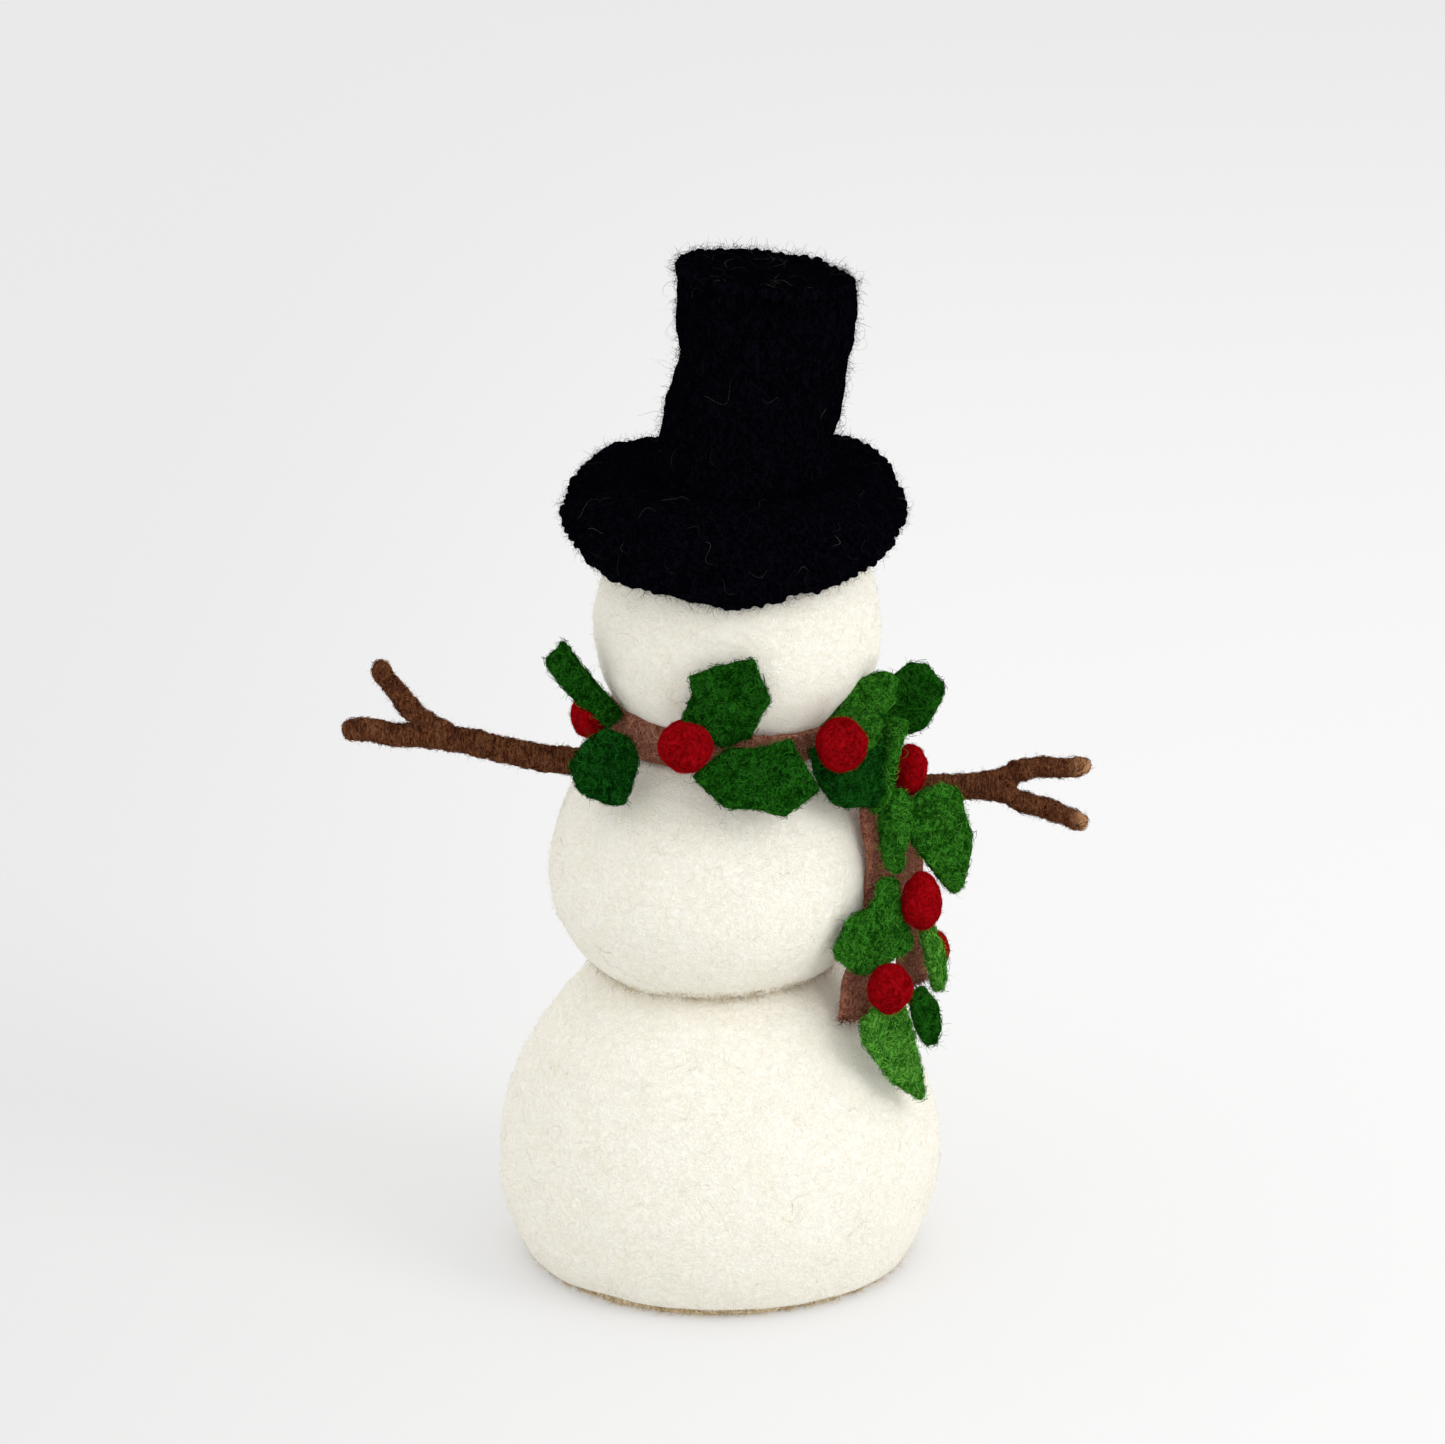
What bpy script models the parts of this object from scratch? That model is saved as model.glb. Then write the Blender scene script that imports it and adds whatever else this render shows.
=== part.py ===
"""A hand-felted wool snowman with a felt top hat, wire-and-wool twig arms and a garland of felt holly.

Metres, +Z up, origin at the middle of the rest face. The back of the snowman looks along -Y and its
face along +Y. Every length named below is in millimetres and is turned into metres when a mesh is made.
"""

from math import asin, cos, pi, radians, sin, sqrt

import bmesh
import bpy
from mathutils import Vector

MM = 0.001
GAP = 0.3

# Balls: middle of each ball, its widest radius and its half heights above and below the widest ring.
LOWER_X, LOWER_MID_Z, LOWER_RADIUS, LOWER_UP, LOWER_DOWN = 0.0, 30.0, 67.0, 73.0, 57.0
MIDDLE_X, MIDDLE_MID_Z, MIDDLE_RADIUS, MIDDLE_UP, MIDDLE_DOWN = -2.7, 121.0, 48.3, 54.6, 38.6
HEAD_X, HEAD_MID_Z, HEAD_RADIUS, HEAD_UP, HEAD_DOWN = 5.4, 200.0, 42.7, 48.0, 42.5
WAIST_Z = 93.0
NECK_Z = 167.5
FELT_WALL = 4.0
BALL_STEPS, OUTER_ARC = 40, 11
INNER_STEPS, INNER_ARC = 24, 7

SOLE_RADIUS = 57.4
SOLE_THICKNESS = 3.4

ROD_RADIUS = 3.0
ROD_BOTTOM, ROD_TOP = SOLE_THICKNESS + 0.6, 226.0
ROD_BOTTOM_X, ROD_TOP_X = -1.0, 4.4
ROD_SIDES = 16

# Hat.
BRIM_X = 4.6
BRIM_RADIUS = 49.4
BRIM_HOLE = 22.6
BRIM_THICKNESS = 3.0
BRIM_INNER_Z = 245.4
BRIM_FAR_DROP, BRIM_SIDE_DROP, BRIM_NEAR_DROP = -1.5, 10.0, 24.5
BRIM_NEAR_TUCK = 5.5
BRIM_WAVE = 0.8
BRIM_STEPS = 48
CROWN_BASE_X, CROWN_BEND_X, CROWN_TOP_X = 7.4, 12.6, 13.8
CROWN_BASE_Z, CROWN_TOP_Z = BRIM_INNER_Z + 3 * GAP, 305.0
CROWN_RADIUS, CROWN_WAIST_RADIUS = 26.2, 25.2
CROWN_WALL = 3.0
TOP_THICKNESS = 3.0
TOP_RADIUS = 25.0
TOP_TILT = -0.07
YARN_RADIUS = 0.9

# Arms: wire wound with wool, bent at the root and at each fork.
ARM_Y = 6.0
ARM_RADIUS = 4.0
TWIG_RADIUS, TWIG_TIP_RADIUS = 3.1, 2.2
WIRE_RADIUS = 0.9
WIRE_BORE = WIRE_RADIUS + 0.35
LEFT_SHOULDER = (-46.2, ARM_Y, 154.9)
LEFT_STEM = (
    (-54.0, 155.9),
    (-66.0, 158.5),
    (-78.0, 161.3),
    (-88.0, 162.9),
    (-97.0, 162.8),
    (-106.0, 164.6),
    (-113.4, 164.2),
)
LEFT_FORK = (-91.4, ARM_Y, 169.8)
LEFT_TWIG = ((-94.6, 173.6), (-98.2, 178.2), (-101.0, 182.4), (-102.3, 186.2))
RIGHT_SHOULDER = (44.9, ARM_Y, 147.6)
RIGHT_STEM = ((54.0, 146.8), (64.0, 146.4), (76.0, 146.7), (87.5, 146.7))
RIGHT_UPPER_FORK = (90.0, ARM_Y, 151.4)
RIGHT_UPPER_TWIG = ((95.4, 152.6), (100.0, 152.6), (105.0, 152.4), (112.0, 153.6))
RIGHT_LOWER_FORK = (90.2, ARM_Y, 142.2)
RIGHT_LOWER_TWIG = ((96.4, 140.2), (103.0, 138.0), (108.4, 135.6), (111.4, 135.6))
WIRE_SIDES = 8
WIRE_SET_BACK = 6.4

# Garland.
COLLAR_BOTTOM_X, COLLAR_BOTTOM_RADIUS, COLLAR_BOTTOM_Z = -1.0, 32.6, 164.5
COLLAR_TOP_X, COLLAR_TOP_RADIUS, COLLAR_TOP_Z = 5.4, 38.8, 178.0
COLLAR_TILT = -0.03
STRAP_THICKNESS = 2.4
STRAP_WIDTH = 13.5
COLLAR_STEPS = 48
KNOT = (44.0, -14.0, 166.0)
INNER_TAIL = (
    (46.2, -16.0, 160.0), (46.4, -16.0, 148.0), (46.6, -16.0, 134.0),
    (46.0, -17.0, 118.0), (44.4, -22.0, 105.0), (42.4, -27.0, 95.0), (41.4, -30.0, 85.0),
)
OUTER_TAIL = (
    (53.0, -9.0, 159.0), (55.6, -9.0, 149.0), (57.2, -9.0, 133.0),
    (58.0, -9.0, 117.0), (59.4, -9.0, 102.0), (60.4, -9.0, 88.0),
)
LEAF_THICKNESS = 2.2
# Half widths of a holly leaf at even steps from its stalk end to its tip, as a share of the widest.
LEAF_OUTLINE = (0.30, 0.58, 0.92, 0.84, 0.88, 1.0, 0.84, 0.66, 0.30)

# Each leaf: stalk end, tip, the way its face looks, full width, bend along its length, fold at its rib.
LEAVES = {
    "leaf_collar_left_upright": ((-35.6, -19, 181.4), (-49.4, -17, 197.2), (0.62, -0.45, 0.62), 17, -1, 0.5),
    "leaf_collar_left_low": ((-33, -31, 172), (-34.6, -38, 154.6), (-0.45, -0.85, -0.20), 20, 0.6, 0.6),
    "leaf_collar_back_high": ((4.6, -42.4, 177.4), (0.8, -47, 200.8), (0.05, -1, 0.12), 23, 0.5, 0.6),
    "leaf_collar_back_low": ((-2, -46.4, 171.2), (30, -45, 160.4), (0.10, -0.92, 0.35), 19, 1.2, 0.8),
    "leaf_collar_under_berry": ((40, -31, 162.4), (36.2, -38.4, 152), (0.35, -0.85, 0.10), 17, 0.4, 0.4),
    "leaf_collar_right_high": ((41.6, -25, 177), (55.2, -22, 189), (-0.10, -0.85, 0.50), 16, 0.6, 0.6),
    "leaf_collar_right_far": ((49.2, -5, 170.6), (65.8, -3, 182), (0.10, -0.97, 0.10), 20, 1.2, 1.0),
    "leaf_collar_knot": ((53.6, -27.8, 176), (50.2, -30.4, 153.8), (-0.55, -0.83, 0), 14, -1.2, 0.8),
    "leaf_tail_upper": ((50.4, -26.6, 151.8), (54.6, -26.4, 128.2), (-0.62, -0.78, 0), 12, -0.8, 1.0),
    "leaf_tail_outer": ((60.4, -17.8, 152), (71.4, -18.4, 120.4), (0.20, -0.97, 0.05), 20, 1.0, 0.8),
    "leaf_tail_middle": ((50.6, -26.4, 124.2), (36, -36.8, 106), (0.35, -0.88, 0.30), 22, 0.6, 0.8),
    "leaf_tail_edge": ((63.4, -15, 107.6), (67.6, -15, 88.6), (0.93, -0.34, 0.15), 15, 0.8, 0.6),
    "leaf_tail_bottom": ((48.2, -37.6, 87.6), (60.4, -31.4, 58.4), (0.50, -0.84, 0.18), 18, 0.6, 0.8),
    "leaf_tail_small": ((60.4, -21, 86.6), (64.4, -21, 70.8), (0.55, -0.80, 0.1), 12, 0.4, 0.5),
    "leaf_face_left": ((-22, 40, 171), (-35, 44.4, 157.6), (-0.35, 0.90, 0.20), 19, 0.8, 0.8),
    "leaf_face_right": ((28, 38, 172), (46, 41, 162), (0.35, 0.90, 0.20), 19, 0.8, 0.8),
    "leaf_face_middle": ((3, 44.4, 170), (4, 47, 152), (0, 0.97, 0.15), 18, 0.8, 0.8),
}

# Each berry: its centre, its radius across and its half height.
BERRIES = {
    "berry_collar_left": ((-42.4, -14.0, 173.4), 6.6, 7.2),
    "berry_collar_back": ((-12.4, -46.8, 175.2), 7.6, 7.8),
    "berry_collar_right": ((36.4, -37.2, 173.8), 7.8, 8.0),
    "berry_face_left": ((-11.6, 47.4, 174.6), 7.6, 7.6),
    "berry_face_right": ((18.4, 47.8, 174.6), 7.6, 7.6),
    "berry_tail_upper": ((61.8, -14.6, 160.0), 6.2, 7.4),
    "berry_tail_middle": ((61.4, -27.0, 118.6), 6.4, 9.2),
    "berry_tail_lower": ((51.8, -37.4, 97.8), 7.2, 8.2),
    "berry_tail_outer": ((61.4, 5.2, 95.0), 6.4, 7.0),
}

# Face, on the side away from the strap's knot.
NOSE_Z, NOSE_LENGTH, NOSE_RADIUS, NOSE_DROP = 203.0, 28.0, 4.6, 2.0
EYE_SPREAD, EYE_Z, EYE_RADIUS = 13.0, 214.0, 3.0
BUTTON_RADIUS = 3.4
BUTTON_HEIGHTS = {"button_upper": 144.0, "button_middle": 127.0, "button_lower": 110.0}

WOOL_WHITE = (0.80, 0.77, 0.69)
FILLING_WHITE = (0.72, 0.70, 0.64)
SOLE_GREY = (0.25, 0.21, 0.17)
ROD_WOOD = (0.55, 0.40, 0.24)
HAT_NAVY = (0.012, 0.014, 0.022)
YARN_NAVY = (0.018, 0.020, 0.030)
ARM_BROWN = (0.075, 0.030, 0.016)
WIRE_STEEL = (0.45, 0.45, 0.46)
STRAP_BROWN = (0.110, 0.050, 0.035)
LEAF_GREEN = (0.020, 0.110, 0.018)
BERRY_RED = (0.330, 0.004, 0.014)
NOSE_ORANGE = (0.75, 0.22, 0.03)
COAL_BLACK = (0.010, 0.010, 0.011)


def clear_scene():
    for old in list(bpy.data.objects):
        bpy.data.objects.remove(old, do_unlink=True)


def new_collection(name):
    made = bpy.data.collections.new(name)
    bpy.context.scene.collection.children.link(made)
    return made


def material(name, colour, roughness, metallic=0.0):
    made = bpy.data.materials.new(name)
    made.use_nodes = True
    shader = made.node_tree.nodes["Principled BSDF"]
    shader.inputs["Base Color"].default_value = (*colour, 1.0)
    shader.inputs["Roughness"].default_value = roughness
    shader.inputs["Metallic"].default_value = metallic
    return made


def add_object(name, mesh, skin, collection):
    made = bpy.data.objects.new(name, mesh)
    mesh.materials.append(skin)
    collection.objects.link(made)
    return made


def mesh_from(name, work):
    """The bmesh, built in millimetres, as a smooth mesh in metres with its faces looking outwards."""
    bmesh.ops.recalc_face_normals(work, faces=work.faces)
    bmesh.ops.scale(work, vec=(MM, MM, MM), verts=work.verts)
    mesh = bpy.data.meshes.new(name)
    work.to_mesh(mesh)
    work.free()
    mesh.shade_smooth()
    mesh.set_sharp_from_angle(angle=radians(40))
    return mesh


def felt_sheet(name, rows, wrap_rows, wrap_points, thickness, offset, skin, collection):
    """A sheet through rows of points, given its thickness by Solidify. Either way round can close on itself."""
    work = bmesh.new()
    grid = [[work.verts.new(point) for point in row] for row in rows]
    row_pairs = list(zip(grid, grid[1:])) + ([(grid[-1], grid[0])] if wrap_rows else [])
    for first, second in row_pairs:
        count = len(first)
        for i in range(count if wrap_points else count - 1):
            j = (i + 1) % count
            work.faces.new((first[i], first[j], second[j], second[i]))
    mesh = mesh_from(name, work)
    made = add_object(name, mesh, skin, collection)
    thick = made.modifiers.new("thickness", "SOLIDIFY")
    thick.thickness = thickness * MM
    thick.offset = offset
    return made


def cylinder(name, low, high, radius, sides, skin, collection):
    """A capped cylinder between two points."""
    low, high = Vector(low), Vector(high)
    work = bmesh.new()
    bmesh.ops.create_cone(
        work, cap_ends=True, segments=sides, radius1=radius, radius2=radius, depth=(high - low).length
    )
    made = add_object(name, mesh_from(name, work), skin, collection)
    made.location = (low + high) / 2 * MM
    made.rotation_euler = (high - low).to_track_quat("Z", "Y").to_euler()
    return made


def tube(name, points, radii, skin, collection, resolution=2):
    """A curve with a round bevel and filled caps, whose radius follows the points."""
    curve = bpy.data.curves.new(name, "CURVE")
    curve.dimensions = "3D"
    curve.bevel_depth = MM
    curve.bevel_resolution = resolution
    curve.use_fill_caps = True
    spline = curve.splines.new("POLY")
    spline.points.add(len(points) - 1)
    for target, point, radius in zip(spline.points, points, radii):
        target.co = (*(Vector(point) * MM), 1.0)
        target.radius = radius
    return add_object(name, curve, skin, collection)


def as_mesh(curve_object, collection):
    """The curve object replaced by a mesh of the same shape, its caps welded on."""
    bpy.context.view_layer.update()
    graph = bpy.context.evaluated_depsgraph_get()
    mesh = bpy.data.meshes.new_from_object(curve_object.evaluated_get(graph))
    work = bmesh.new()
    work.from_mesh(mesh)
    bmesh.ops.remove_doubles(work, verts=work.verts, dist=0.000001)
    bmesh.ops.recalc_face_normals(work, faces=work.faces)
    work.to_mesh(mesh)
    work.free()
    name = curve_object.name
    placed = curve_object.matrix_world.copy()
    bpy.data.objects.remove(curve_object, do_unlink=True)
    made = bpy.data.objects.new(name, mesh)
    made.matrix_world = placed
    collection.objects.link(made)
    return made


def revolved(name, profile, centre_x, skin, collection, steps=BALL_STEPS):
    """A Screw of (radius, height) points about the upright line through centre_x, outer side top down."""
    work = bmesh.new()
    verts = [work.verts.new((r * MM, 0.0, z * MM)) for r, z in profile]
    for first, second in zip(verts, verts[1:]):
        work.edges.new((first, second))
    mesh = bpy.data.meshes.new(name)
    work.to_mesh(mesh)
    work.free()
    made = add_object(name, mesh, skin, collection)
    made.location = (centre_x * MM, 0.0, 0.0)
    screw = made.modifiers.new("turn", "SCREW")
    screw.axis = "Z"
    screw.angle = 2 * pi
    screw.steps = steps
    screw.render_steps = steps
    screw.use_merge_vertices = True
    screw.merge_threshold = 0.00001
    return made


def ball_radius(z, mid_z, radius, up, down):
    half = up if z >= mid_z else down
    return radius * sqrt(max(0.0, 1.0 - ((z - mid_z) / half) ** 2))


def ball_arc(top_z, bottom_z, shape, points):
    """(radius, height) points down the side of a ball between two cut heights, capped on its axis."""
    mid_z, radius, up, down = shape
    top_share = min(1.0, (top_z - mid_z) / up)
    low_share = max(-1.0, (bottom_z - mid_z) / down)
    top_angle = asin(top_share)
    low_angle = asin(low_share)
    arc = []
    for i in range(points):
        angle = top_angle + (low_angle - top_angle) * i / (points - 1)
        half = up if angle >= 0 else down
        arc.append((radius * cos(angle), mid_z + half * sin(angle)))
    if top_share == 1.0:
        arc[0] = (0.0, arc[0][1])
        return arc + [(0.0, arc[-1][1])]
    return [(0.0, arc[0][1])] + arc + [(0.0, arc[-1][1])]


def shrunk(shape, by):
    mid_z, radius, up, down = shape
    return (mid_z, radius - by, up - by, down - by)


def cut_with(piece, cutter):
    cut = piece.modifiers.new(cutter.name, "BOOLEAN")
    cut.operation = "DIFFERENCE"
    cut.solver = "EXACT"
    cut.object = cutter


def as_cutter(piece):
    piece.hide_render = True
    piece.display_type = "WIRE"
    return piece


def felt_ball(prefix, centre_x, shape, top_z, bottom_z, skins, collection, cutters):
    """A felt ball cut flat where it meets its neighbours, hollow by FELT_WALL, and the wool inside it."""
    outer = ball_arc(top_z, bottom_z, shape, OUTER_ARC)
    hollow = ball_arc(top_z - FELT_WALL, bottom_z + FELT_WALL, shrunk(shape, FELT_WALL), INNER_ARC)
    stuffed_shape = shrunk(shape, FELT_WALL + GAP)
    stuffed = ball_arc(top_z - FELT_WALL - GAP, bottom_z + FELT_WALL + GAP, stuffed_shape, INNER_ARC)
    felt = revolved(prefix + "_felt", outer, centre_x, skins["wool"], collection)
    cavity = revolved(prefix + "_cavity", hollow, centre_x, skins["wool"], cutters, INNER_STEPS)
    cut_with(felt, as_cutter(cavity))
    wool = revolved(prefix + "_filling", stuffed, centre_x, skins["filling"], collection, INNER_STEPS)
    return [felt, wool]


def smooth_path(points, per_span=2):
    """A Catmull-Rom line through the points."""
    points = [Vector(point) for point in points]
    padded = [2 * points[0] - points[1]] + points + [2 * points[-1] - points[-2]]
    line = []
    for a, b, c, d in zip(padded, padded[1:], padded[2:], padded[3:]):
        for i in range(per_span):
            t = i / per_span
            bow = (2 * a - 5 * b + 4 * c - d) * t**2 + (3 * b - a - 3 * c + d) * t**3
            line.append(0.5 * (2 * b + (c - a) * t + bow))
    line.append(points[-1])
    return line


def stem_line(pivot, stations):
    return smooth_path([pivot] + [(x, ARM_Y, z) for x, z in stations])


def wound_stem(name, pivot, stations, root_radius, tip_radius, skins, collection):
    """Wool wound round a wire: a half ball about its pivot, then a stem that thins to a rounded tip."""
    line = stem_line(pivot, stations)
    forward = (line[1] - line[0]).normalized()
    points, radii = [], []
    for i in range(4):
        angle = (pi / 2) * (0.86 - 0.86 * i / 4)
        points.append(line[0] - forward * (root_radius * sin(angle)))
        radii.append(root_radius * cos(angle))
    last = len(line) - 1
    for i, point in enumerate(line):
        points.append(point)
        radii.append(root_radius + (tip_radius - root_radius) * i / last)
    end = (line[-1] - line[-2]).normalized()
    points[-1] = line[-1] - end * (tip_radius * 0.5)
    points.append(line[-1])
    radii.append(tip_radius * 0.55)
    return as_mesh(tube(name, points, radii, skins["arm"], collection), collection)


def stem_wire(name, pivot, stations, radius, reach_back, stop_short, skins, collection):
    """The wire inside a stem, or its bore, from behind the pivot to short of the tip."""
    line = stem_line(pivot, stations)
    forward = (line[1] - line[0]).normalized()
    points = [line[0] - forward * reach_back] + line[: len(line) - stop_short]
    return tube(name, points, [radius] * len(points), skins["wire"], collection)


def brim_drop(angle):
    """How far the brim's edge hangs below its inner ring, round the hat, with its felted waves."""
    toward_back = -sin(angle)
    far = BRIM_FAR_DROP + (BRIM_SIDE_DROP - BRIM_FAR_DROP) * (1 - max(0.0, -toward_back)) ** 1.0
    near = (BRIM_NEAR_DROP - BRIM_SIDE_DROP) * max(0.0, toward_back) ** 1.4
    return far + near + BRIM_WAVE * sin(7 * angle)


def brim_point(angle, share):
    """A point of the brim's upper side: share 0 at the hole and 1 at the edge."""
    tuck = BRIM_NEAR_TUCK * max(0.0, -sin(angle)) ** 2
    reach = BRIM_HOLE + (BRIM_RADIUS - tuck - BRIM_HOLE) * share
    centre_x = CROWN_BASE_X + (BRIM_X - CROWN_BASE_X) * share
    flat_share = max(0.0, (share - 0.2) / 0.8)
    z = BRIM_INNER_Z - brim_drop(angle) * flat_share**1.35
    return Vector((centre_x + reach * cos(angle), reach * sin(angle), z))


def brim(skin, collection):
    shares = (0.0, 0.2, 0.38, 0.56, 0.77, 1.0)
    rows = []
    for i in range(BRIM_STEPS):
        angle = 2 * pi * i / BRIM_STEPS
        rows.append([brim_point(angle, share) for share in shares])
    return felt_sheet("hat_brim", rows, True, False, BRIM_THICKNESS, -1.0, skin, collection)


def crown_centre_x(z):
    t = (z - CROWN_BASE_Z) / (CROWN_TOP_Z - CROWN_BASE_Z)
    return CROWN_BASE_X * (1 - t) ** 2 + 2 * CROWN_BEND_X * t * (1 - t) + CROWN_TOP_X * t**2


def crown_ring(z):
    """Points round the outside of the crown, which narrows a little halfway up and leans."""
    t = (z - CROWN_BASE_Z) / (CROWN_TOP_Z - CROWN_BASE_Z)
    radius = CROWN_RADIUS - (CROWN_RADIUS - CROWN_WAIST_RADIUS) * sin(pi * t)
    centre_x = crown_centre_x(z)
    ring = []
    for i in range(BALL_STEPS):
        angle = 2 * pi * i / BALL_STEPS
        x = radius * cos(angle)
        ring.append(Vector((centre_x + x, radius * sin(angle), z + TOP_TILT * x * t)))
    return ring


def crown(skin, collection):
    heights = [CROWN_BASE_Z + (CROWN_TOP_Z - CROWN_BASE_Z) * i / 6 for i in range(7)]
    rows = [crown_ring(z) for z in heights]
    return felt_sheet("hat_crown", rows, False, True, CROWN_WALL, -1.0, skin, collection)


def top_point(across, along, up):
    """A point over the crown's top, measured in the plane of the tilted disc."""
    return Vector((CROWN_TOP_X + across, along, CROWN_TOP_Z + 2 * GAP + up + TOP_TILT * across))


def top_disc(skin, collection):
    low = top_point(0.0, 0.0, 0.0)
    lean = Vector((-TOP_TILT, 0.0, 1.0)).normalized()
    made = cylinder("hat_top", low, low + lean * TOP_THICKNESS, TOP_RADIUS, BALL_STEPS, skin, collection)
    edge = made.modifiers.new("soft edge", "BEVEL")
    edge.width = 0.8 * MM
    edge.segments = 1
    return made


def yarn_ring(name, centres, skin, collection):
    """A closed cord through the points."""
    made = tube(name, centres, [YARN_RADIUS] * len(centres), skin, collection, resolution=1)
    made.data.splines[0].use_cyclic_u = True
    return as_mesh(made, collection)


def brim_yarn(skin, collection):
    reach = YARN_RADIUS + GAP + 0.3
    centres = []
    for i in range(BRIM_STEPS):
        angle = 2 * pi * i / BRIM_STEPS
        edge = brim_point(angle, 1.0) - Vector((0.0, 0.0, BRIM_THICKNESS / 2))
        centres.append(edge + Vector((cos(angle), sin(angle), 0.0)) * reach)
    return yarn_ring("hat_brim_stitching", centres, skin, collection)


def top_yarn(skin, collection):
    radius = TOP_RADIUS + YARN_RADIUS + GAP + 0.1
    centres = []
    for i in range(BALL_STEPS):
        angle = 2 * pi * i / BALL_STEPS
        centres.append(top_point(radius * cos(angle), radius * sin(angle), TOP_THICKNESS / 2))
    return yarn_ring("hat_top_stitching", centres, skin, collection)


def collar(skin, collection):
    """The strap round the neck: it leans outwards to lie under the head."""
    rows = []
    edges = (
        (COLLAR_BOTTOM_X, COLLAR_BOTTOM_RADIUS, COLLAR_BOTTOM_Z),
        (COLLAR_TOP_X, COLLAR_TOP_RADIUS, COLLAR_TOP_Z),
    )
    for i in range(COLLAR_STEPS):
        angle = 2 * pi * i / COLLAR_STEPS
        row = []
        for centre_x, radius, z in edges:
            x = radius * cos(angle)
            row.append(Vector((centre_x + x, radius * sin(angle), z + COLLAR_TILT * x)))
        rows.append(row)
    return felt_sheet("collar_strap", rows, True, False, STRAP_THICKNESS, -1.0, skin, collection)


def tail_strap(name, points, twist_from, twist_to, skin, collection):
    """A flat strap down the points, whose face turns from one compass direction to another."""
    line = smooth_path(points)
    rows = []
    for i, point in enumerate(line):
        turn = radians(twist_from + (twist_to - twist_from) * i / (len(line) - 1))
        ahead = line[min(i + 1, len(line) - 1)]
        forward = (ahead - line[max(i - 1, 0)]).normalized()
        face = Vector((cos(turn), sin(turn), 0.0))
        face = (face - forward * face.dot(forward)).normalized()
        wide = forward.cross(face)
        rows.append([point + wide * (side * STRAP_WIDTH / 2) for side in (-1, 1)])
    return felt_sheet(name, rows, False, False, STRAP_THICKNESS, 0.0, skin, collection)


def leaf(name, base, tip, face, width, bend, fold, skin, collection):
    """A holly leaf: its outline carried from stalk to tip, bent along its length and folded at its rib."""
    base, tip, face = Vector(base), Vector(tip), Vector(face)
    along = (tip - base).normalized()
    up = (face - along * face.dot(along)).normalized()
    wide = along.cross(up)
    rows = []
    last = len(LEAF_OUTLINE) - 1
    for i, share in enumerate(LEAF_OUTLINE):
        t = i / last
        centre = base + (tip - base) * t + up * (bend * 4 * t * (1 - t))
        half = share * width / 2
        row = []
        for side in (-1, 0, 1):
            row.append(centre + wide * (side * half) + up * (fold * abs(side) * share))
        rows.append(row)
    return felt_sheet(name, rows, False, False, LEAF_THICKNESS, 0.0, skin, collection)


def felted_ball(name, centre, radius, half_height, skin, collection, segments=12, rings=8):
    work = bmesh.new()
    bmesh.ops.create_uvsphere(work, u_segments=segments, v_segments=rings, radius=1.0)
    bmesh.ops.scale(work, vec=(radius, radius, half_height), verts=work.verts)
    bmesh.ops.translate(work, vec=centre, verts=work.verts)
    return add_object(name, mesh_from(name, work), skin, collection)


def face_pieces(skins, collection):
    """Carrot nose, two coal eyes and three coal buttons, each standing just off the felt."""
    points, radii = [], []
    for share, thick in ((0.0, 0.75), (0.05, 0.97), (0.3, 0.86), (0.6, 0.58), (0.85, 0.33), (1.0, 0.12)):
        along = HEAD_RADIUS + GAP + NOSE_LENGTH * share
        points.append((HEAD_X, along, NOSE_Z - NOSE_DROP * share**2))
        radii.append(NOSE_RADIUS * thick)
    tube("nose", points, radii, skins["nose"], collection)
    flat = ball_radius(EYE_Z, HEAD_MID_Z, HEAD_RADIUS, HEAD_UP, HEAD_DOWN)
    eye_y = sqrt(flat**2 - EYE_SPREAD**2) + EYE_RADIUS + 1.0
    for name, side in (("eye_left", 1), ("eye_right", -1)):
        centre = (HEAD_X + side * (EYE_SPREAD + 1.0), eye_y, EYE_Z + 0.8)
        felted_ball(name, centre, EYE_RADIUS, EYE_RADIUS, skins["coal"], collection, 10, 6)
    for name, z in BUTTON_HEIGHTS.items():
        flat = ball_radius(z, MIDDLE_MID_Z, MIDDLE_RADIUS, MIDDLE_UP, MIDDLE_DOWN)
        centre = (MIDDLE_X, flat + BUTTON_RADIUS + 0.9, z)
        felted_ball(name, centre, BUTTON_RADIUS, BUTTON_RADIUS, skins["coal"], collection, 10, 6)


def joint_empty(name, at, pieces, collection):
    """An empty on a joint's axis, carrying the pieces that move about it."""
    holder = bpy.data.objects.new(name, None)
    holder.location = Vector(at) * MM
    holder.empty_display_size = 0.01
    collection.objects.link(holder)
    bpy.context.view_layer.update()
    for piece in pieces:
        piece.parent = holder
        piece.matrix_parent_inverse = holder.matrix_world.inverted()
    return holder


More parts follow.
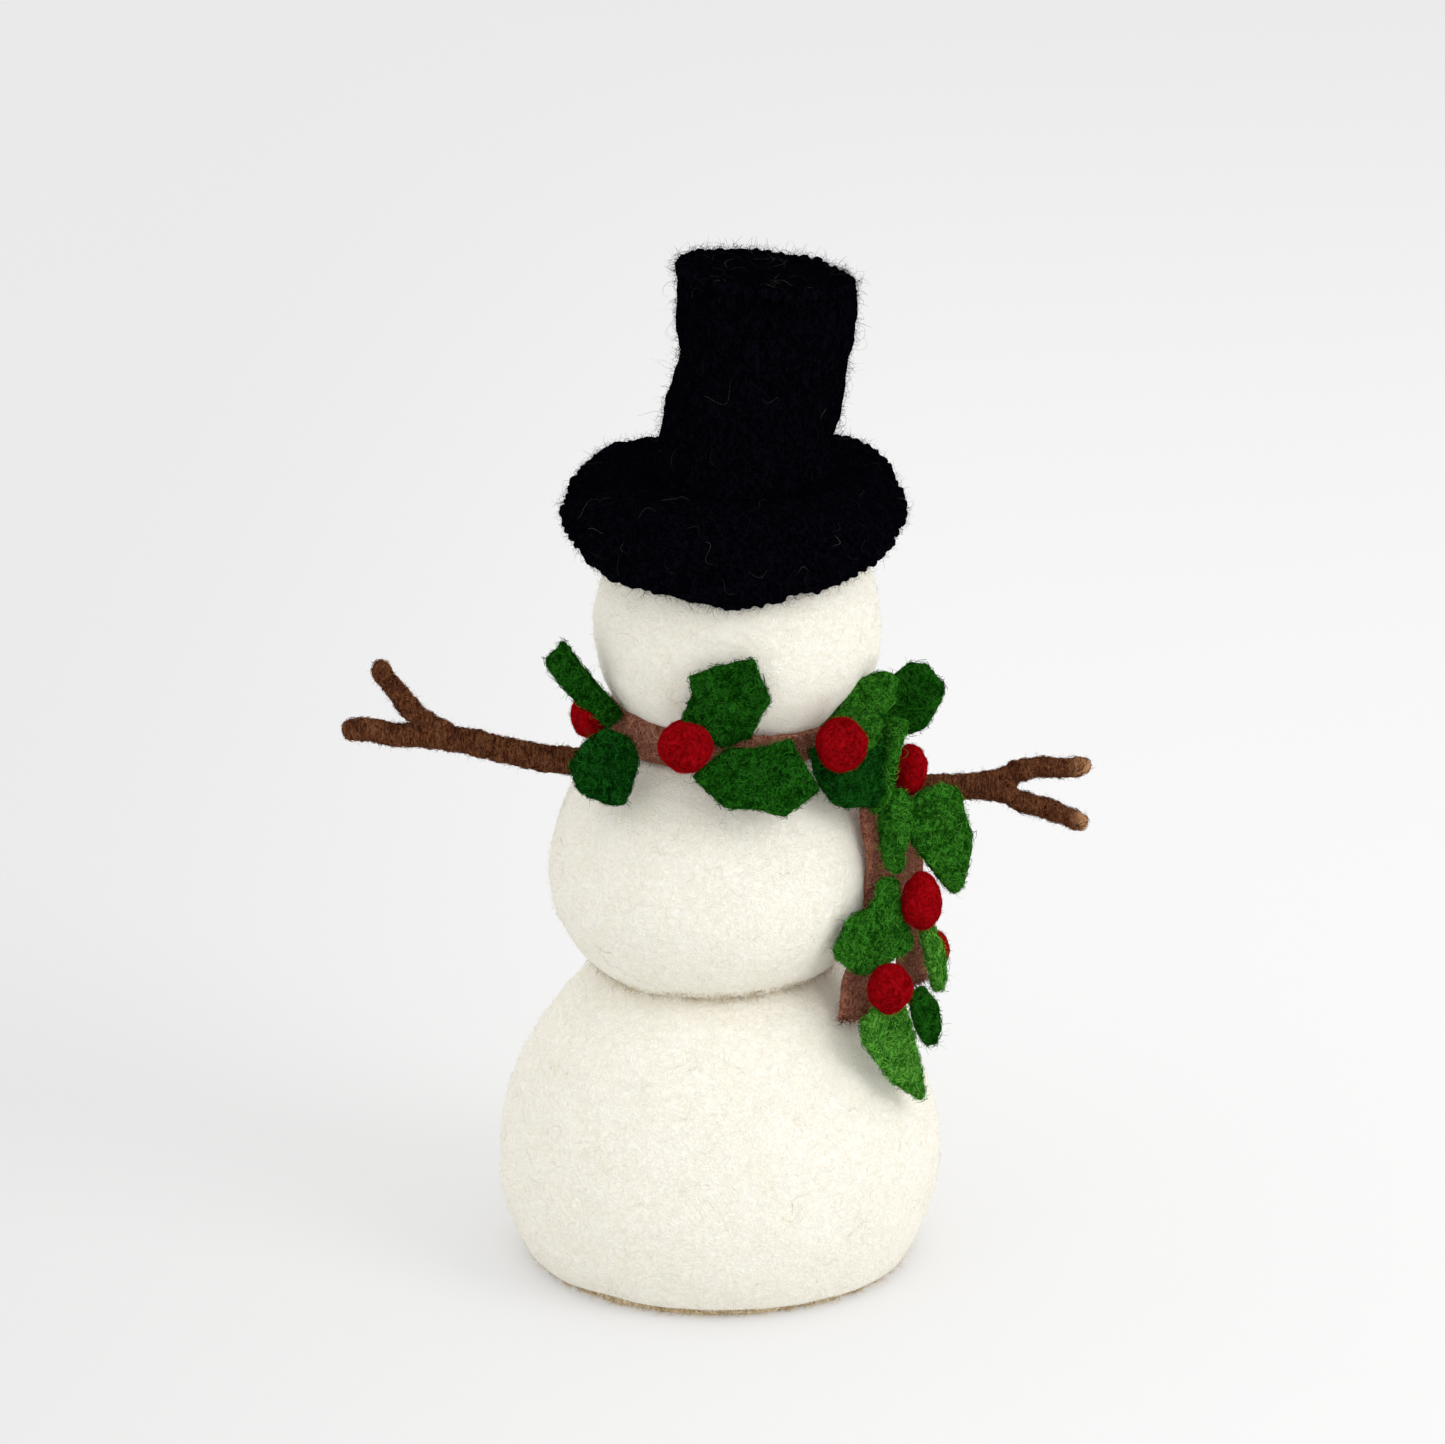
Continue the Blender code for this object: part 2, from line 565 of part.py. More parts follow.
def build_body(skins, collection, cutters):
    sole_profile = [
        (0.0, SOLE_THICKNESS),
        (SOLE_RADIUS, SOLE_THICKNESS),
        (SOLE_RADIUS + 0.9, SOLE_THICKNESS * 0.5),
        (SOLE_RADIUS - 0.4, 0.0),
        (0.0, 0.0),
    ]
    revolved("sole", sole_profile, LOWER_X, skins["sole"], collection)
    lower = (LOWER_MID_Z, LOWER_RADIUS, LOWER_UP, LOWER_DOWN)
    middle = (MIDDLE_MID_Z, MIDDLE_RADIUS, MIDDLE_UP, MIDDLE_DOWN)
    head = (HEAD_MID_Z, HEAD_RADIUS, HEAD_UP, HEAD_DOWN)
    step = GAP / 2
    kit = (skins, collection, cutters)
    pieces = felt_ball("lower_body", LOWER_X, lower, WAIST_Z - step, SOLE_THICKNESS + GAP, *kit)
    middle_pieces = felt_ball("middle_body", MIDDLE_X, middle, NECK_Z - step, WAIST_Z + step, *kit)
    pieces += middle_pieces
    pieces += felt_ball("head", HEAD_X, head, HEAD_MID_Z + HEAD_UP, NECK_Z + step, *kit)

    rod_bottom, rod_top = Vector((ROD_BOTTOM_X, 0.0, ROD_BOTTOM)), Vector((ROD_TOP_X, 0.0, ROD_TOP))
    cylinder("spine_rod", rod_bottom, rod_top, ROD_RADIUS, ROD_SIDES, skins["rod"], collection)
    lean = (rod_top - rod_bottom).normalized()
    hole_ends = (rod_bottom - lean * 15, rod_top + lean * GAP)
    rod_hole = cylinder("rod_channel", *hole_ends, ROD_RADIUS + 0.35, ROD_SIDES, skins["rod"], cutters)
    rod_hole = as_cutter(rod_hole)
    for piece in pieces:
        cut_with(piece, rod_hole)

    left, right = Vector(LEFT_SHOULDER), Vector(RIGHT_SHOULDER)
    across = (right - left).normalized()
    wire_ends = (left + across * WIRE_SET_BACK, right - across * WIRE_SET_BACK)
    cylinder("arm_cross_wire", *wire_ends, WIRE_RADIUS, WIRE_SIDES, skins["wire"], collection)
    hole_ends = (left + across * 2, right - across * 2)
    wire_hole = cylinder("wire_channel", *hole_ends, WIRE_BORE, WIRE_SIDES, skins["wire"], cutters)
    wire_hole = as_cutter(wire_hole)
    for piece in middle_pieces:
        cut_with(piece, wire_hole)


def build_arm(side, shoulder, stations, tip_radius, skins, collection, cutters):
    """One arm's wound stem and the wire in it, carried by an empty at the shoulder."""
    name = "arm_" + side
    wool = wound_stem(name + "_wool", shoulder, stations, ARM_RADIUS, tip_radius, skins, collection)
    steel = stem_wire(name + "_wire", shoulder, stations, WIRE_RADIUS, 3.2, 4, skins, collection)
    bore = stem_wire(name + "_bore", shoulder, stations, WIRE_BORE, 6.0, 3, skins, cutters)
    cut_with(wool, as_cutter(as_mesh(bore, cutters)))
    joint_empty(name + "_axis", shoulder, [wool, steel], collection)


def build_twig(name, fork, stations, skins, collection):
    made = wound_stem(name, fork, stations, TWIG_RADIUS, TWIG_TIP_RADIUS, skins, collection)
    joint_empty(name + "_axis", fork, [made], collection)


def main():
    clear_scene()
    collection = new_collection("felt_snowman")
    cutters = new_collection("cutters")
    cutters.hide_render = True
    skins = {
        "wool": material("white wool felt", WOOL_WHITE, 0.95),
        "filling": material("wool filling", FILLING_WHITE, 0.98),
        "sole": material("coarse grey felt", SOLE_GREY, 0.98),
        "rod": material("plain wood", ROD_WOOD, 0.6),
        "hat": material("navy felt", HAT_NAVY, 0.95),
        "yarn": material("navy yarn", YARN_NAVY, 0.9),
        "arm": material("brown wound wool", ARM_BROWN, 0.95),
        "wire": material("steel wire", WIRE_STEEL, 0.35, 1.0),
        "strap": material("brown felt", STRAP_BROWN, 0.95),
        "leaf": material("green felt", LEAF_GREEN, 0.92),
        "berry": material("red felted wool", BERRY_RED, 0.85),
        "nose": material("orange felt", NOSE_ORANGE, 0.92),
        "coal": material("black felt", COAL_BLACK, 0.92),
    }
    build_body(skins, collection, cutters)

    hat = [
        brim(skins["hat"], collection),
        crown(skins["hat"], collection),
        top_disc(skins["hat"], collection),
        brim_yarn(skins["yarn"], collection),
        top_yarn(skins["yarn"], collection),
    ]
    joint_empty("hat_lift_axis", (CROWN_BASE_X, 0.0, BRIM_INNER_Z), hat, collection)

    build_arm("left", LEFT_SHOULDER, LEFT_STEM, 2.6, skins, collection, cutters)
    build_arm("right", RIGHT_SHOULDER, RIGHT_STEM, 3.6, skins, collection, cutters)
    build_twig("arm_left_twig", LEFT_FORK, LEFT_TWIG, skins, collection)
    build_twig("arm_right_upper_twig", RIGHT_UPPER_FORK, RIGHT_UPPER_TWIG, skins, collection)
    build_twig("arm_right_lower_twig", RIGHT_LOWER_FORK, RIGHT_LOWER_TWIG, skins, collection)

    collar(skins["strap"], collection)
    tail = [
        tail_strap("tail_strap_inner", INNER_TAIL, 0, -55, skins["strap"], collection),
        tail_strap("tail_strap_outer", OUTER_TAIL, 0, -10, skins["strap"], collection),
    ]
    for name, sizes in LEAVES.items():
        made = leaf(name, *sizes, skins["leaf"], collection)
        if name.startswith("leaf_tail"):
            tail.append(made)
    for name, sizes in BERRIES.items():
        made = felted_ball(name, *sizes, skins["berry"], collection)
        if name.startswith("berry_tail"):
            tail.append(made)
    joint_empty("garland_tail_axis", KNOT, tail, collection)
    face_pieces(skins, collection)


main()
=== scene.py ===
"""A hand-felted snowman with a top hat, twig arms and a holly garland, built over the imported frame.

Lengths are in millimetres until a mesh is made, and the object's frame is the CAD's: +Z up, -Y towards the
camera. Felt is a closed skin with its own lumps, and the loose wool on it is a child piece of threads.
"""

from math import cos, hypot, pi, radians, sin, tau

import bpy
import numpy as np
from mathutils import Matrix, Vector, noise
from mathutils.geometry import delaunay_2d_cdt


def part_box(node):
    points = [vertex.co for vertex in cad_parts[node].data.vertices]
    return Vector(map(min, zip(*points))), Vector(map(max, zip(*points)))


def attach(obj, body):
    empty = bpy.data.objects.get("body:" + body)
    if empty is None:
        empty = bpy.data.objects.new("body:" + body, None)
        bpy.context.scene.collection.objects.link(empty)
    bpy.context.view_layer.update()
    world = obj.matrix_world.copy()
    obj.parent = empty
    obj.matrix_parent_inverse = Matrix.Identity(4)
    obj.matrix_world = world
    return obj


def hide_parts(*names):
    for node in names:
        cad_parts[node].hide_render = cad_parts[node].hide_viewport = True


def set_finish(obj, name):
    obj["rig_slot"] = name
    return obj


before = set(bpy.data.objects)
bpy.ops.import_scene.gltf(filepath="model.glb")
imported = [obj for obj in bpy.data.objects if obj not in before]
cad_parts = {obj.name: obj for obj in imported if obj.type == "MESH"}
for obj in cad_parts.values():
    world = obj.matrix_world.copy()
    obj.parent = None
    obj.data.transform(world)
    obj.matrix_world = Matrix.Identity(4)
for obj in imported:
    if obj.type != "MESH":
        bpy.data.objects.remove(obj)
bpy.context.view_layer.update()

MM = 0.001
RANDOM = np.random.default_rng(11)
THREADS_PER_PIECE = 4000
FLOOR_GAP = 0.2

# Camera: it looks down at the figure from behind.
CAMERA_TARGET = (1.0, 0.0, 169.0)
CAMERA_DISTANCE = 1800.0
CAMERA_ELEVATION = 18.0
VIEW_WIDTH = 433.5
SENSOR = 36.0

# Light and floor, in metres: the lamp's place, its aim, its size, its power and its colour.
KEY_LAMP = ((2.6, -1.6, 2.2), (0.0, 0.0, 0.15), 1.8, 31.0, (1.0, 0.99, 0.98))
SKY_STRENGTH = 1.09
FLOOR_HALF = 14.0
# Painted glow: the floor gives off light of its own, though it is no lamp.
FLOOR_PAINTED_GLOW = 0.27
# Painted shade and light on the floor: its grey is deeper to the left and far back, and lighter on the right
# where the lamp falls.
LEFT_SHADED_GREY, RIGHT_LIT_GREY, FAR_SHADED_GREY = 0.478, 0.575, 0.485
FLOOR_TURNS_RIGHT = (-0.30, 0.12)
FLOOR_TURNS_FAR = (0.0, 2.2)

# Felt balls: centre x, widest height, widest radius, half heights above and below it, and the foot's height.
BALLS = {
    "lower_body": (0.0, 30.0, 67.0, 73.0, 57.0, 3.2),
    "middle_body": (-1.5, 121.0, 49.5, 54.6, 38.6, 84.0),
    "head": (5.4, 200.0, 42.7, 48.0, 42.5, 158.0),
}
# The loose wool of each ball: how many fibres and strays, and the heights that they grow between.
BALL_WOOL = {
    "lower_body": (11500, 200, 3.0, 98.0),
    "middle_body": (8000, 150, 88.0, 166.0),
    "head": (5600, 110, 166.0, 226.0),
}
# The thicker fringe at the foot of two balls: its wool, and the heights that it grows between. The tan
# fringe in the crease under the middle ball is loose fibres, and it also paints shade into the crease.
FOOT_FRINGES = (("middle_body", "tan strays", 91.5, 96.5), ("lower_body", "white wool", 3.0, 7.0))
FOOT_FIBRES = 2200
SOLE_RADIUS = 57.2
# The sole's rings from its middle below to its middle above: share of its radius, and height.
SOLE_RINGS = (
    (0.0, 0.15),
    (0.5, 0.1),
    (0.96, 0.1),
    (0.99, 0.6),
    (1.0, 1.7),
    (0.99, 2.8),
    (0.96, 3.3),
    (0.5, 3.4),
)
SOLE_FIBRES = 4800
SOLE_FUZZ_TOP = 5.5

# Hat.
BRIM_X = 4.6
BRIM_RADIUS = 49.4
BRIM_HOLE = 22.6
BRIM_THICKNESS = 3.0
BRIM_Z = 245.4
BRIM_DROPS = (-1.5, 10.0, 24.5)
BRIM_TUCK = 5.5
BRIM_WAVE = 0.8
BRIM_LIFT, BRIM_LIFT_TURN = 1.8, 0.95
# Where the brim bulges: turns about its middle, and how far.
BRIM_BULGES = ((0.80, 2.2), (2.50, 1.5), (3.85, 1.9))
BRIM_FIBRES, BRIM_STRAYS, BRIM_YARN_FIBRES = 8000, 50, 5600
CROWN_BASE_X = 7.4
CROWN_WALL = 3.0
# The crown's left and right edges at each height.
CROWN_SIDES = (
    (244.6, -18.8, 32.4),
    (257.0, -17.2, 33.6),
    (268.0, -15.4, 35.8),
    (276.0, -13.2, 37.1),
    (282.0, -11.4, 38.3),
    (290.0, -12.4, 39.6),
    (299.0, -12.3, 40.0),
    (306.4, -12.0, 39.4),
)
# Half the crown's depth at its base, and how much it narrows half way up.
CROWN_DEPTH, CROWN_WAIST = 26.0, 0.8
CROWN_FIBRES, CROWN_STRAYS, CROWN_WISPS = 9500, 60, 1000
TOP_X = 13.6
TOP_Z = 305.2
TOP_RADIUS = 25.0
TOP_TILT = -0.11
# The top's rings from its middle below to its edge above: reach, and height over its plane.
TOP_RINGS = ((0.4, 0.0), (12, 0.0), (24, 0.1), (24.9, 0.9), (25, 1.5), (24.8, 2.2), (23.6, 2.9))
TOP_FIBRES, TOP_STRAYS, TOP_YARN_FIBRES = 2800, 24, 4000
YARN_RADIUS = 0.9
STITCH_PITCH = 3.7

# Arms, as points along the middle of each stem: x and z.
ARM_Y = 6.0
WRAP_PITCH = 1.9
LEFT_CUFF = ((-34.0, 153.2), (-40.0, 154.0), (-46.2, 154.9))
RIGHT_CUFF = ((34.0, 148.6), (40.0, 148.0), (44.9, 147.6))
LEFT_ARM = (
    (-46.2, 154.9),
    (-54.0, 155.9),
    (-66.0, 158.5),
    (-78.0, 161.3),
    (-88.0, 162.9),
    (-97.0, 162.8),
    (-106.0, 164.6),
    (-113.4, 164.2),
)
LEFT_FORK_STUB = ((-83.0, 163.6), (-87.6, 166.0), (-91.4, 169.8))
LEFT_TWIG = ((-91.4, 169.8), (-94.6, 173.6), (-98.2, 178.2), (-101.0, 182.4), (-102.3, 186.2))
RIGHT_ARM = ((44.9, 147.6), (54.0, 146.8), (64.0, 146.4), (76.0, 146.7), (86.0, 146.7))
RIGHT_UPPER_STUB = ((78.0, 147.0), (85.0, 148.4), (90.0, 150.9))
RIGHT_LOWER_STUB = ((78.0, 146.6), (85.0, 145.4), (90.2, 142.8))
RIGHT_UPPER_TWIG = ((90.0, 151.4), (95.4, 152.6), (100.0, 152.6), (105.0, 152.4), (112.0, 153.6))
RIGHT_LOWER_TWIG = ((90.2, 142.2), (96.4, 140.2), (103.0, 138.0), (108.4, 135.6), (111.4, 135.6))
# Each wound piece: its stems with their radii at root and tip, its body, and how many fibres it has.
ARMS = {
    "arm_left_wool": (((LEFT_ARM, 4.3, 3.3), (LEFT_FORK_STUB, 3.9, 3.6)), "left_arm", 2200),
    "arm_left_twig": (((LEFT_TWIG, 3.4, 2.7),), "left_twig", 800),
    "arm_right_wool": (
        ((RIGHT_ARM, 4.0, 3.9), (RIGHT_UPPER_STUB, 3.8, 3.7), (RIGHT_LOWER_STUB, 3.6, 3.5)),
        "right_arm",
        1800,
    ),
    "arm_right_upper_twig": (((RIGHT_UPPER_TWIG, 3.4, 2.7),), "right_upper_twig", 800),
    "arm_right_lower_twig": (((RIGHT_LOWER_TWIG, 3.4, 2.7),), "right_lower_twig", 800),
    "arm_left_cuff": (((LEFT_CUFF, 4.3, 4.3),), "snowman", 200),
    "arm_right_cuff": (((RIGHT_CUFF, 4.0, 4.0),), "snowman", 200),
}
# The right arm's tips turn to a paler tan between these x, in metres.
TAN_TIPS = (0.1045, 0.1125)
TIP_TAN = (0.58, 0.30, 0.14)

# Garland strap: the collar's lower and upper edges (centre x, radius, height), then the two tails.
COLLAR_EDGES = ((-1.0, 32.2, 163.6), (5.0, 37.6, 176.0))
COLLAR_TILT = -0.03
STRAP_THICKNESS = 2.4
STRAP_WIDTH = 13.5
COLLAR_FIBRES, COLLAR_STRAYS = 4000, 260
TAIL_FIBRES, TAIL_STRAYS, TAIL_END_FIBRES = 1900, 70, 450
INNER_TAIL = (
    (46.2, -16.0, 162.0),
    (47.8, -18.0, 148.0),
    (49.4, -18.5, 134.0),
    (48.8, -19.0, 118.0),
    (45.4, -22.0, 105.0),
    (42.6, -27.0, 95.0),
    (41.4, -30.0, 85.0),
)
OUTER_TAIL = (
    (53.0, -9.0, 160.0),
    (55.6, -9.0, 149.0),
    (57.2, -9.0, 133.0),
    (57.2, -9.0, 117.0),
    (57.6, -9.0, 102.0),
    (59.0, -9.0, 88.0),
)
TAIL_TURNS = {"tail_strap_inner": (-55.0, -60.0), "tail_strap_outer": (-28.0, -36.0)}
LEAF_THICKNESS = 2.7
LEAF_GRID = 0.62
LEAF_STRAYS = 90
# Fibres and curls on each square millimetre of a leaf.
LEAF_FUZZ_DENSITY, LEAF_CURL_DENSITY = 3.0, 1.5
# The cut outlines of the leaves: across the leaf and along it from its sewn end.
OUTLINES = {
    "strip": ((-4, -6), (-5.4, 6), (-6, 20.5), (-5, 22.5), (4.8, 22.5), (6, 20), (5.4, 6), (4, -6)),
    "hexagon": (
        (1, -5), (-7.5, -2.5), (-12, 3), (-11.8, 8), (-8.4, 17.5), (-3, 18), (7.6, 14.8), (11.6, 6.5),
        (7, -1),
    ),
    "pentagon": (
        (5, 0), (8.5, 6.5), (12.4, 11), (9.8, 25.4), (-2, 25), (-10, 24), (-9.8, 18), (-14.6, 10), (-4, -2),
    ),
    "wide": (
        (5.5, -5), (-2, 0), (-6, 3.5), (-8.4, 12), (-13.8, 19.6), (-9.5, 24), (-2, 33), (8.8, 25), (9, 17),
        (11.5, 7),
    ),
    "stub": (
        (12.5, -9), (11, 0), (9, 4), (5.5, 9), (0.5, 11), (-7.5, 11.5), (-10, 9.5), (-11.5, 4), (-13, -5),
        (-12, -9), (-6.5, -10), (-1, -7), (8, -10),
    ),
    "pointed": (
        (-11, -5), (-11.5, 0.5), (-10.5, 6.5), (-8, 11), (-5.5, 15.5), (-3, 18.5), (1, 20.5), (4, 20),
        (6, 12), (8, 1.5), (7.5, -2.5), (0.5, -7),
    ),
    "broad": (
        (-6, -3), (-9.6, 11), (-9.6, 17), (-6.5, 20.4), (1.6, 21.4), (5.4, 18), (10.2, 8.5), (8, 3),
        (4, -3),
    ),
    "slip": (
        (3, -1.5), (-2.5, -2), (-3, 2.5), (-2.5, 8.5), (-3, 16), (-4, 22.5), (-2.5, 26.5), (0, 29.5),
        (3, 27), (6, 21), (7, 14.5), (6.5, 8), (4.5, 2.5),
    ),
    "narrow": (
        (4, 1), (1, -2), (-3, -1.5), (-5.5, 3.5), (-5.5, 8.5), (-4, 14), (-2.5, 19.5), (-2, 24), (0.5, 25),
        (3.5, 23.5), (5, 17.5), (5, 4),
    ),
    "long": (
        (8.5, 0), (1, -1.5), (-5, -1.5), (-9, 2), (-8.5, 10.5), (-9, 16), (-7.5, 21), (-5, 26.5),
        (-2.5, 31.5), (0, 33), (2, 32), (3.5, 29), (7.5, 19), (9.5, 14), (10.5, 3),
    ),
    "cloak": (
        (4, 1.5), (1, -1.5), (-3, -2), (-5.5, 1.5), (-8.5, 4.5), (-13.5, 8), (-17.5, 11), (-18, 14.5),
        (-15, 18), (-13.5, 22), (-10.5, 26), (-6, 28.5), (3, 28), (6, 26.5), (7, 17), (5.5, 13), (2, 10),
        (1.5, 7), (2.5, 4),
    ),
    "edge": ((2, -4), (-4, 0), (-6, 10), (-4, 18), (0, 21), (5, 18), (7, 9), (6, 0)),
    "spear": (
        (6.5, -2), (0.5, -3), (-6.5, 2.5), (-6.5, 8), (-5.5, 15), (-3, 29), (-2, 33.5), (0, 34.5),
        (4.5, 27.5), (7.5, 23), (9, 17), (10.5, 10), (12, 4.5), (9.5, -1),
    ),
    "small": ((2.5, -5), (-3, -5), (-6, 2), (-5, 10), (-2, 14.5), (2, 13), (4, 8), (4.5, 2)),
    "holly": (
        (3, -1), (8.4, 4), (6, 8), (9.4, 13), (5, 16), (0, 22), (-5, 16), (-9.4, 13), (-6, 8), (-8.4, 4),
        (-3, -1),
    ),
}
# Each leaf: outline, sewn end, tip, the way its face looks, bend along it, fold at its rib, and its green.
# Leaves that sit in shade take a darker green: painted shade.
LEAVES = {
    "leaf_collar_left_upright": (
        "strip", (-33.4, -18.6, 180.6), (-47.4, -17, 197.8), (0.60, -0.55, 0.58), -1, -5, "leaf green",
    ),
    "leaf_collar_left_low": (
        "hexagon", (-33, -31, 172), (-34.6, -38, 154.6), (-0.45, -0.85, -0.20), 0.6, 0.6, "painted shade green",
    ),
    "leaf_collar_back_high": (
        "pentagon", (4.6, -42.4, 177.4), (0.8, -47, 200.8), (0.05, -1, 0.12), 0.5, 0.6, "leaf green",
    ),
    "leaf_collar_back_low": (
        "wide", (-2, -46.4, 171.2), (30, -45, 160.4), (0.10, -0.92, 0.35), 1.2, 0.8, "leaf green",
    ),
    "leaf_collar_under_berry": (
        "stub", (38.1, -31, 163.5), (38.7, -31.9, 153.3), (0.35, -0.85, 0.10), 0.4, 0.4, "painted shade green",
    ),
    "leaf_collar_right_high": (
        "pointed", (39.2, -28, 176.2), (48.7, -21.6, 189.1), (-0.10, -0.85, 0.50), 0.6, -2, "grass green",
    ),
    "leaf_collar_right_far": (
        "broad", (49.2, -5, 170.6), (65.8, -3, 182), (0.10, -0.97, 0.10), 1.2, -5, "leaf green",
    ),
    "leaf_collar_knot": (
        "slip", (53.1, -28.4, 177.6), (46.4, -27.4, 151.6), (-0.45, -0.88, 0), -0.2, -1.5, "grass green",
    ),
    "leaf_tail_upper": (
        "narrow", (51.6, -26.6, 154.9), (52.7, -26.8, 130.7), (-0.15, -0.98, 0), -0.8, -5, "grass green",
    ),
    "leaf_tail_outer": (
        "long", (62.8, -17.8, 152.8), (71, -17.7, 121.8), (0.20, -0.97, 0.05), 1.0, 0.8, "grass green",
    ),
    "leaf_tail_middle": (
        "cloak", (50.6, -26.4, 127.5), (37.7, -35.9, 106.8), (0.55, -0.83, 0.04), 0.6, 0.8, "grass green",
    ),
    "leaf_tail_edge": (
        "edge", (62.4, -15, 108.6), (66.4, -15, 88.4), (0.93, -0.34, 0.15), 0.8, 0.6, "bright green",
    ),
    "leaf_tail_bottom": (
        "spear", (49.1, -37.6, 91.6), (60.4, -31.9, 60.5), (0.58, -0.81, 0.06), 0.6, 0.8, "bright green",
    ),
    "leaf_tail_small": (
        "small", (60.4, -21, 86.6), (64.4, -21, 70.8), (0.55, -0.80, 0.1), 0.4, 0.5, "leaf green",
    ),
    "leaf_face_left": (
        "holly", (-15, 41, 171), (-29, 45, 157), (-0.35, 0.90, 0.20), 0.8, 0.8, "leaf green",
    ),
    "leaf_face_right": ("holly", (28, 38, 172), (46, 41, 162), (0.35, 0.90, 0.20), 0.8, 0.8, "grass green"),
    "leaf_face_middle": ("holly", (3, 44.4, 170), (4, 47, 152), (0.0, 0.97, 0.15), 0.8, 0.8, "painted shade green"),
}
# Each berry: its centre, its radius across and its half height.
BERRIES = {
    "berry_collar_left": ((-38.2, -15.4, 175.8), 6.0, 6.8),
    "berry_collar_back": ((-9.8, -46.8, 176.8), 8.1, 7.7),
    "berry_collar_right": ((36.0, -37.2, 174.0), 7.5, 8.0),
    "berry_face_left": ((-11.6, 47.4, 174.6), 7.6, 7.6),
    "berry_face_right": ((18.4, 47.8, 174.6), 7.6, 7.6),
    "berry_tail_upper": ((56.7, -14.6, 158.7), 5.3, 8.0),
    "berry_tail_middle": ((60.4, -27.0, 121.6), 6.1, 9.0),
    "berry_tail_lower": ((50.9, -37.4, 97.8), 6.7, 7.8),
    "berry_tail_outer": ((64.4, 1.0, 96.0), 5.6, 6.4),
}
BERRY_FIBRES, BERRY_CURLS = 700, 110

# Face side.
NOSE_START = (5.4, 41.0, 203.0)
NOSE_LENGTH = 30.0
NOSE_RADIUS = 4.6
NOSE_DROP = 2.0
# The nose's taper: shares of its length, and of its radius there.
NOSE_TAPER = ((0, 0.1, 0.3, 0.6, 0.85, 0.97, 1), (0.9, 1.0, 0.86, 0.58, 0.33, 0.16, 0.03))
# Each coal and its radius.
COALS = {"eye_left": 3.0, "eye_right": 3.0, "button_upper": 3.4, "button_middle": 3.4, "button_lower": 3.4}
NOSE_FIBRES, COAL_FIBRES = 500, 160

# Colours, as linear red, green and blue: the deep, the plain and the light wool of each felt.
WOOLS = {
    "white wool": ((0.90, 0.85, 0.70), (0.950, 0.910, 0.795), (0.98, 0.965, 0.91)),
    "tan strays": ((0.42, 0.33, 0.22), (0.62, 0.52, 0.37), (0.78, 0.70, 0.56)),
    "grey strays": ((0.015, 0.013, 0.012), (0.045, 0.040, 0.034), (0.12, 0.105, 0.085)),
    "filling": ((0.62, 0.58, 0.50), (0.74, 0.70, 0.62), (0.82, 0.79, 0.72)),
    "coarse grey": ((0.22, 0.12, 0.055), (0.60, 0.41, 0.21), (0.92, 0.78, 0.52)),
    "navy": ((0.0001, 0.0001, 0.0003), (0.0004, 0.0004, 0.0010), (0.0050, 0.0050, 0.0095)),
    "navy yarn": ((0.0001, 0.0001, 0.0004), (0.0006, 0.0006, 0.0014), (0.0080, 0.0080, 0.0140)),
    "brown wool": ((0.024, 0.005, 0.003), (0.058, 0.014, 0.007), (0.260, 0.105, 0.046)),
    "brown felt": ((0.070, 0.017, 0.010), (0.180, 0.047, 0.029), (0.500, 0.220, 0.140)),
    "leaf green": ((0.0003, 0.0100, 0.0002), (0.0018, 0.0380, 0.0009), (0.0300, 0.2000, 0.0160)),
    "grass green": ((0.0005, 0.0170, 0.0003), (0.0040, 0.0700, 0.0015), (0.0820, 0.3800, 0.0350)),
    "bright green": ((0.0020, 0.0400, 0.0010), (0.0140, 0.1500, 0.0055), (0.1850, 0.5600, 0.0720)),
    # Painted shade: a darker copy of the leaf green, for leaves that sit in shade.
    "painted shade green": ((0.0002, 0.0075, 0.0003), (0.0012, 0.0280, 0.0013), (0.0160, 0.1400, 0.0150)),
    "berry red": ((0.075, 0.0002, 0.0004), (0.245, 0.0006, 0.0020), (0.460, 0.0060, 0.0120)),
    "carrot orange": ((0.45, 0.09, 0.01), (0.74, 0.21, 0.03), (0.90, 0.40, 0.10)),
    "coal": ((0.002, 0.002, 0.002), (0.006, 0.006, 0.007), (0.024, 0.024, 0.027)),
}
# The finish of each felt: size of its curls in millimetres, web of light fibres, bump, sheen and stretch.
FELTS = {
    "white wool": (1.5, 0.55, 0.6, 0.15, (1, 1, 1)),
    "tan strays": (1.6, 0.3, 0.3, 0.1, (1, 1, 1)),
    "grey strays": (1.6, 0.3, 0.3, 0.1, (1, 1, 1)),
    "filling": (4.0, 0.3, 0.4, 0.1, (1, 1, 1)),
    "coarse grey": (1.8, 0.9, 0.9, 0.1, (1, 1, 1)),
    "navy": (1.5, 0.45, 1.0, 0.0, (1, 1, 0.5)),
    "navy yarn": (1.1, 0.5, 1.0, 0.0, (1, 1, 1)),
    "brown wool": (1.1, 0.6, 0.9, 0.0, (1, 0.25, 0.25)),
    "brown felt": (1.2, 0.75, 0.8, 0.0, (1, 1, 1)),
    "leaf green": (1.5, 0.55, 1.0, 0.0, (1, 1, 1)),
    "grass green": (1.5, 0.55, 1.0, 0.0, (1, 1, 1)),
    "bright green": (1.5, 0.55, 1.0, 0.0, (1, 1, 1)),
    "painted shade green": (1.5, 0.55, 1.0, 0.0, (1, 1, 1)),
    "berry red": (1.9, 0.45, 0.7, 0.0, (1, 1, 1)),
    "carrot orange": (1.6, 0.5, 0.6, 0.0, (1, 0.5, 1)),
    "coal": (1.4, 0.5, 0.8, 0.0, (1, 1, 1)),
}
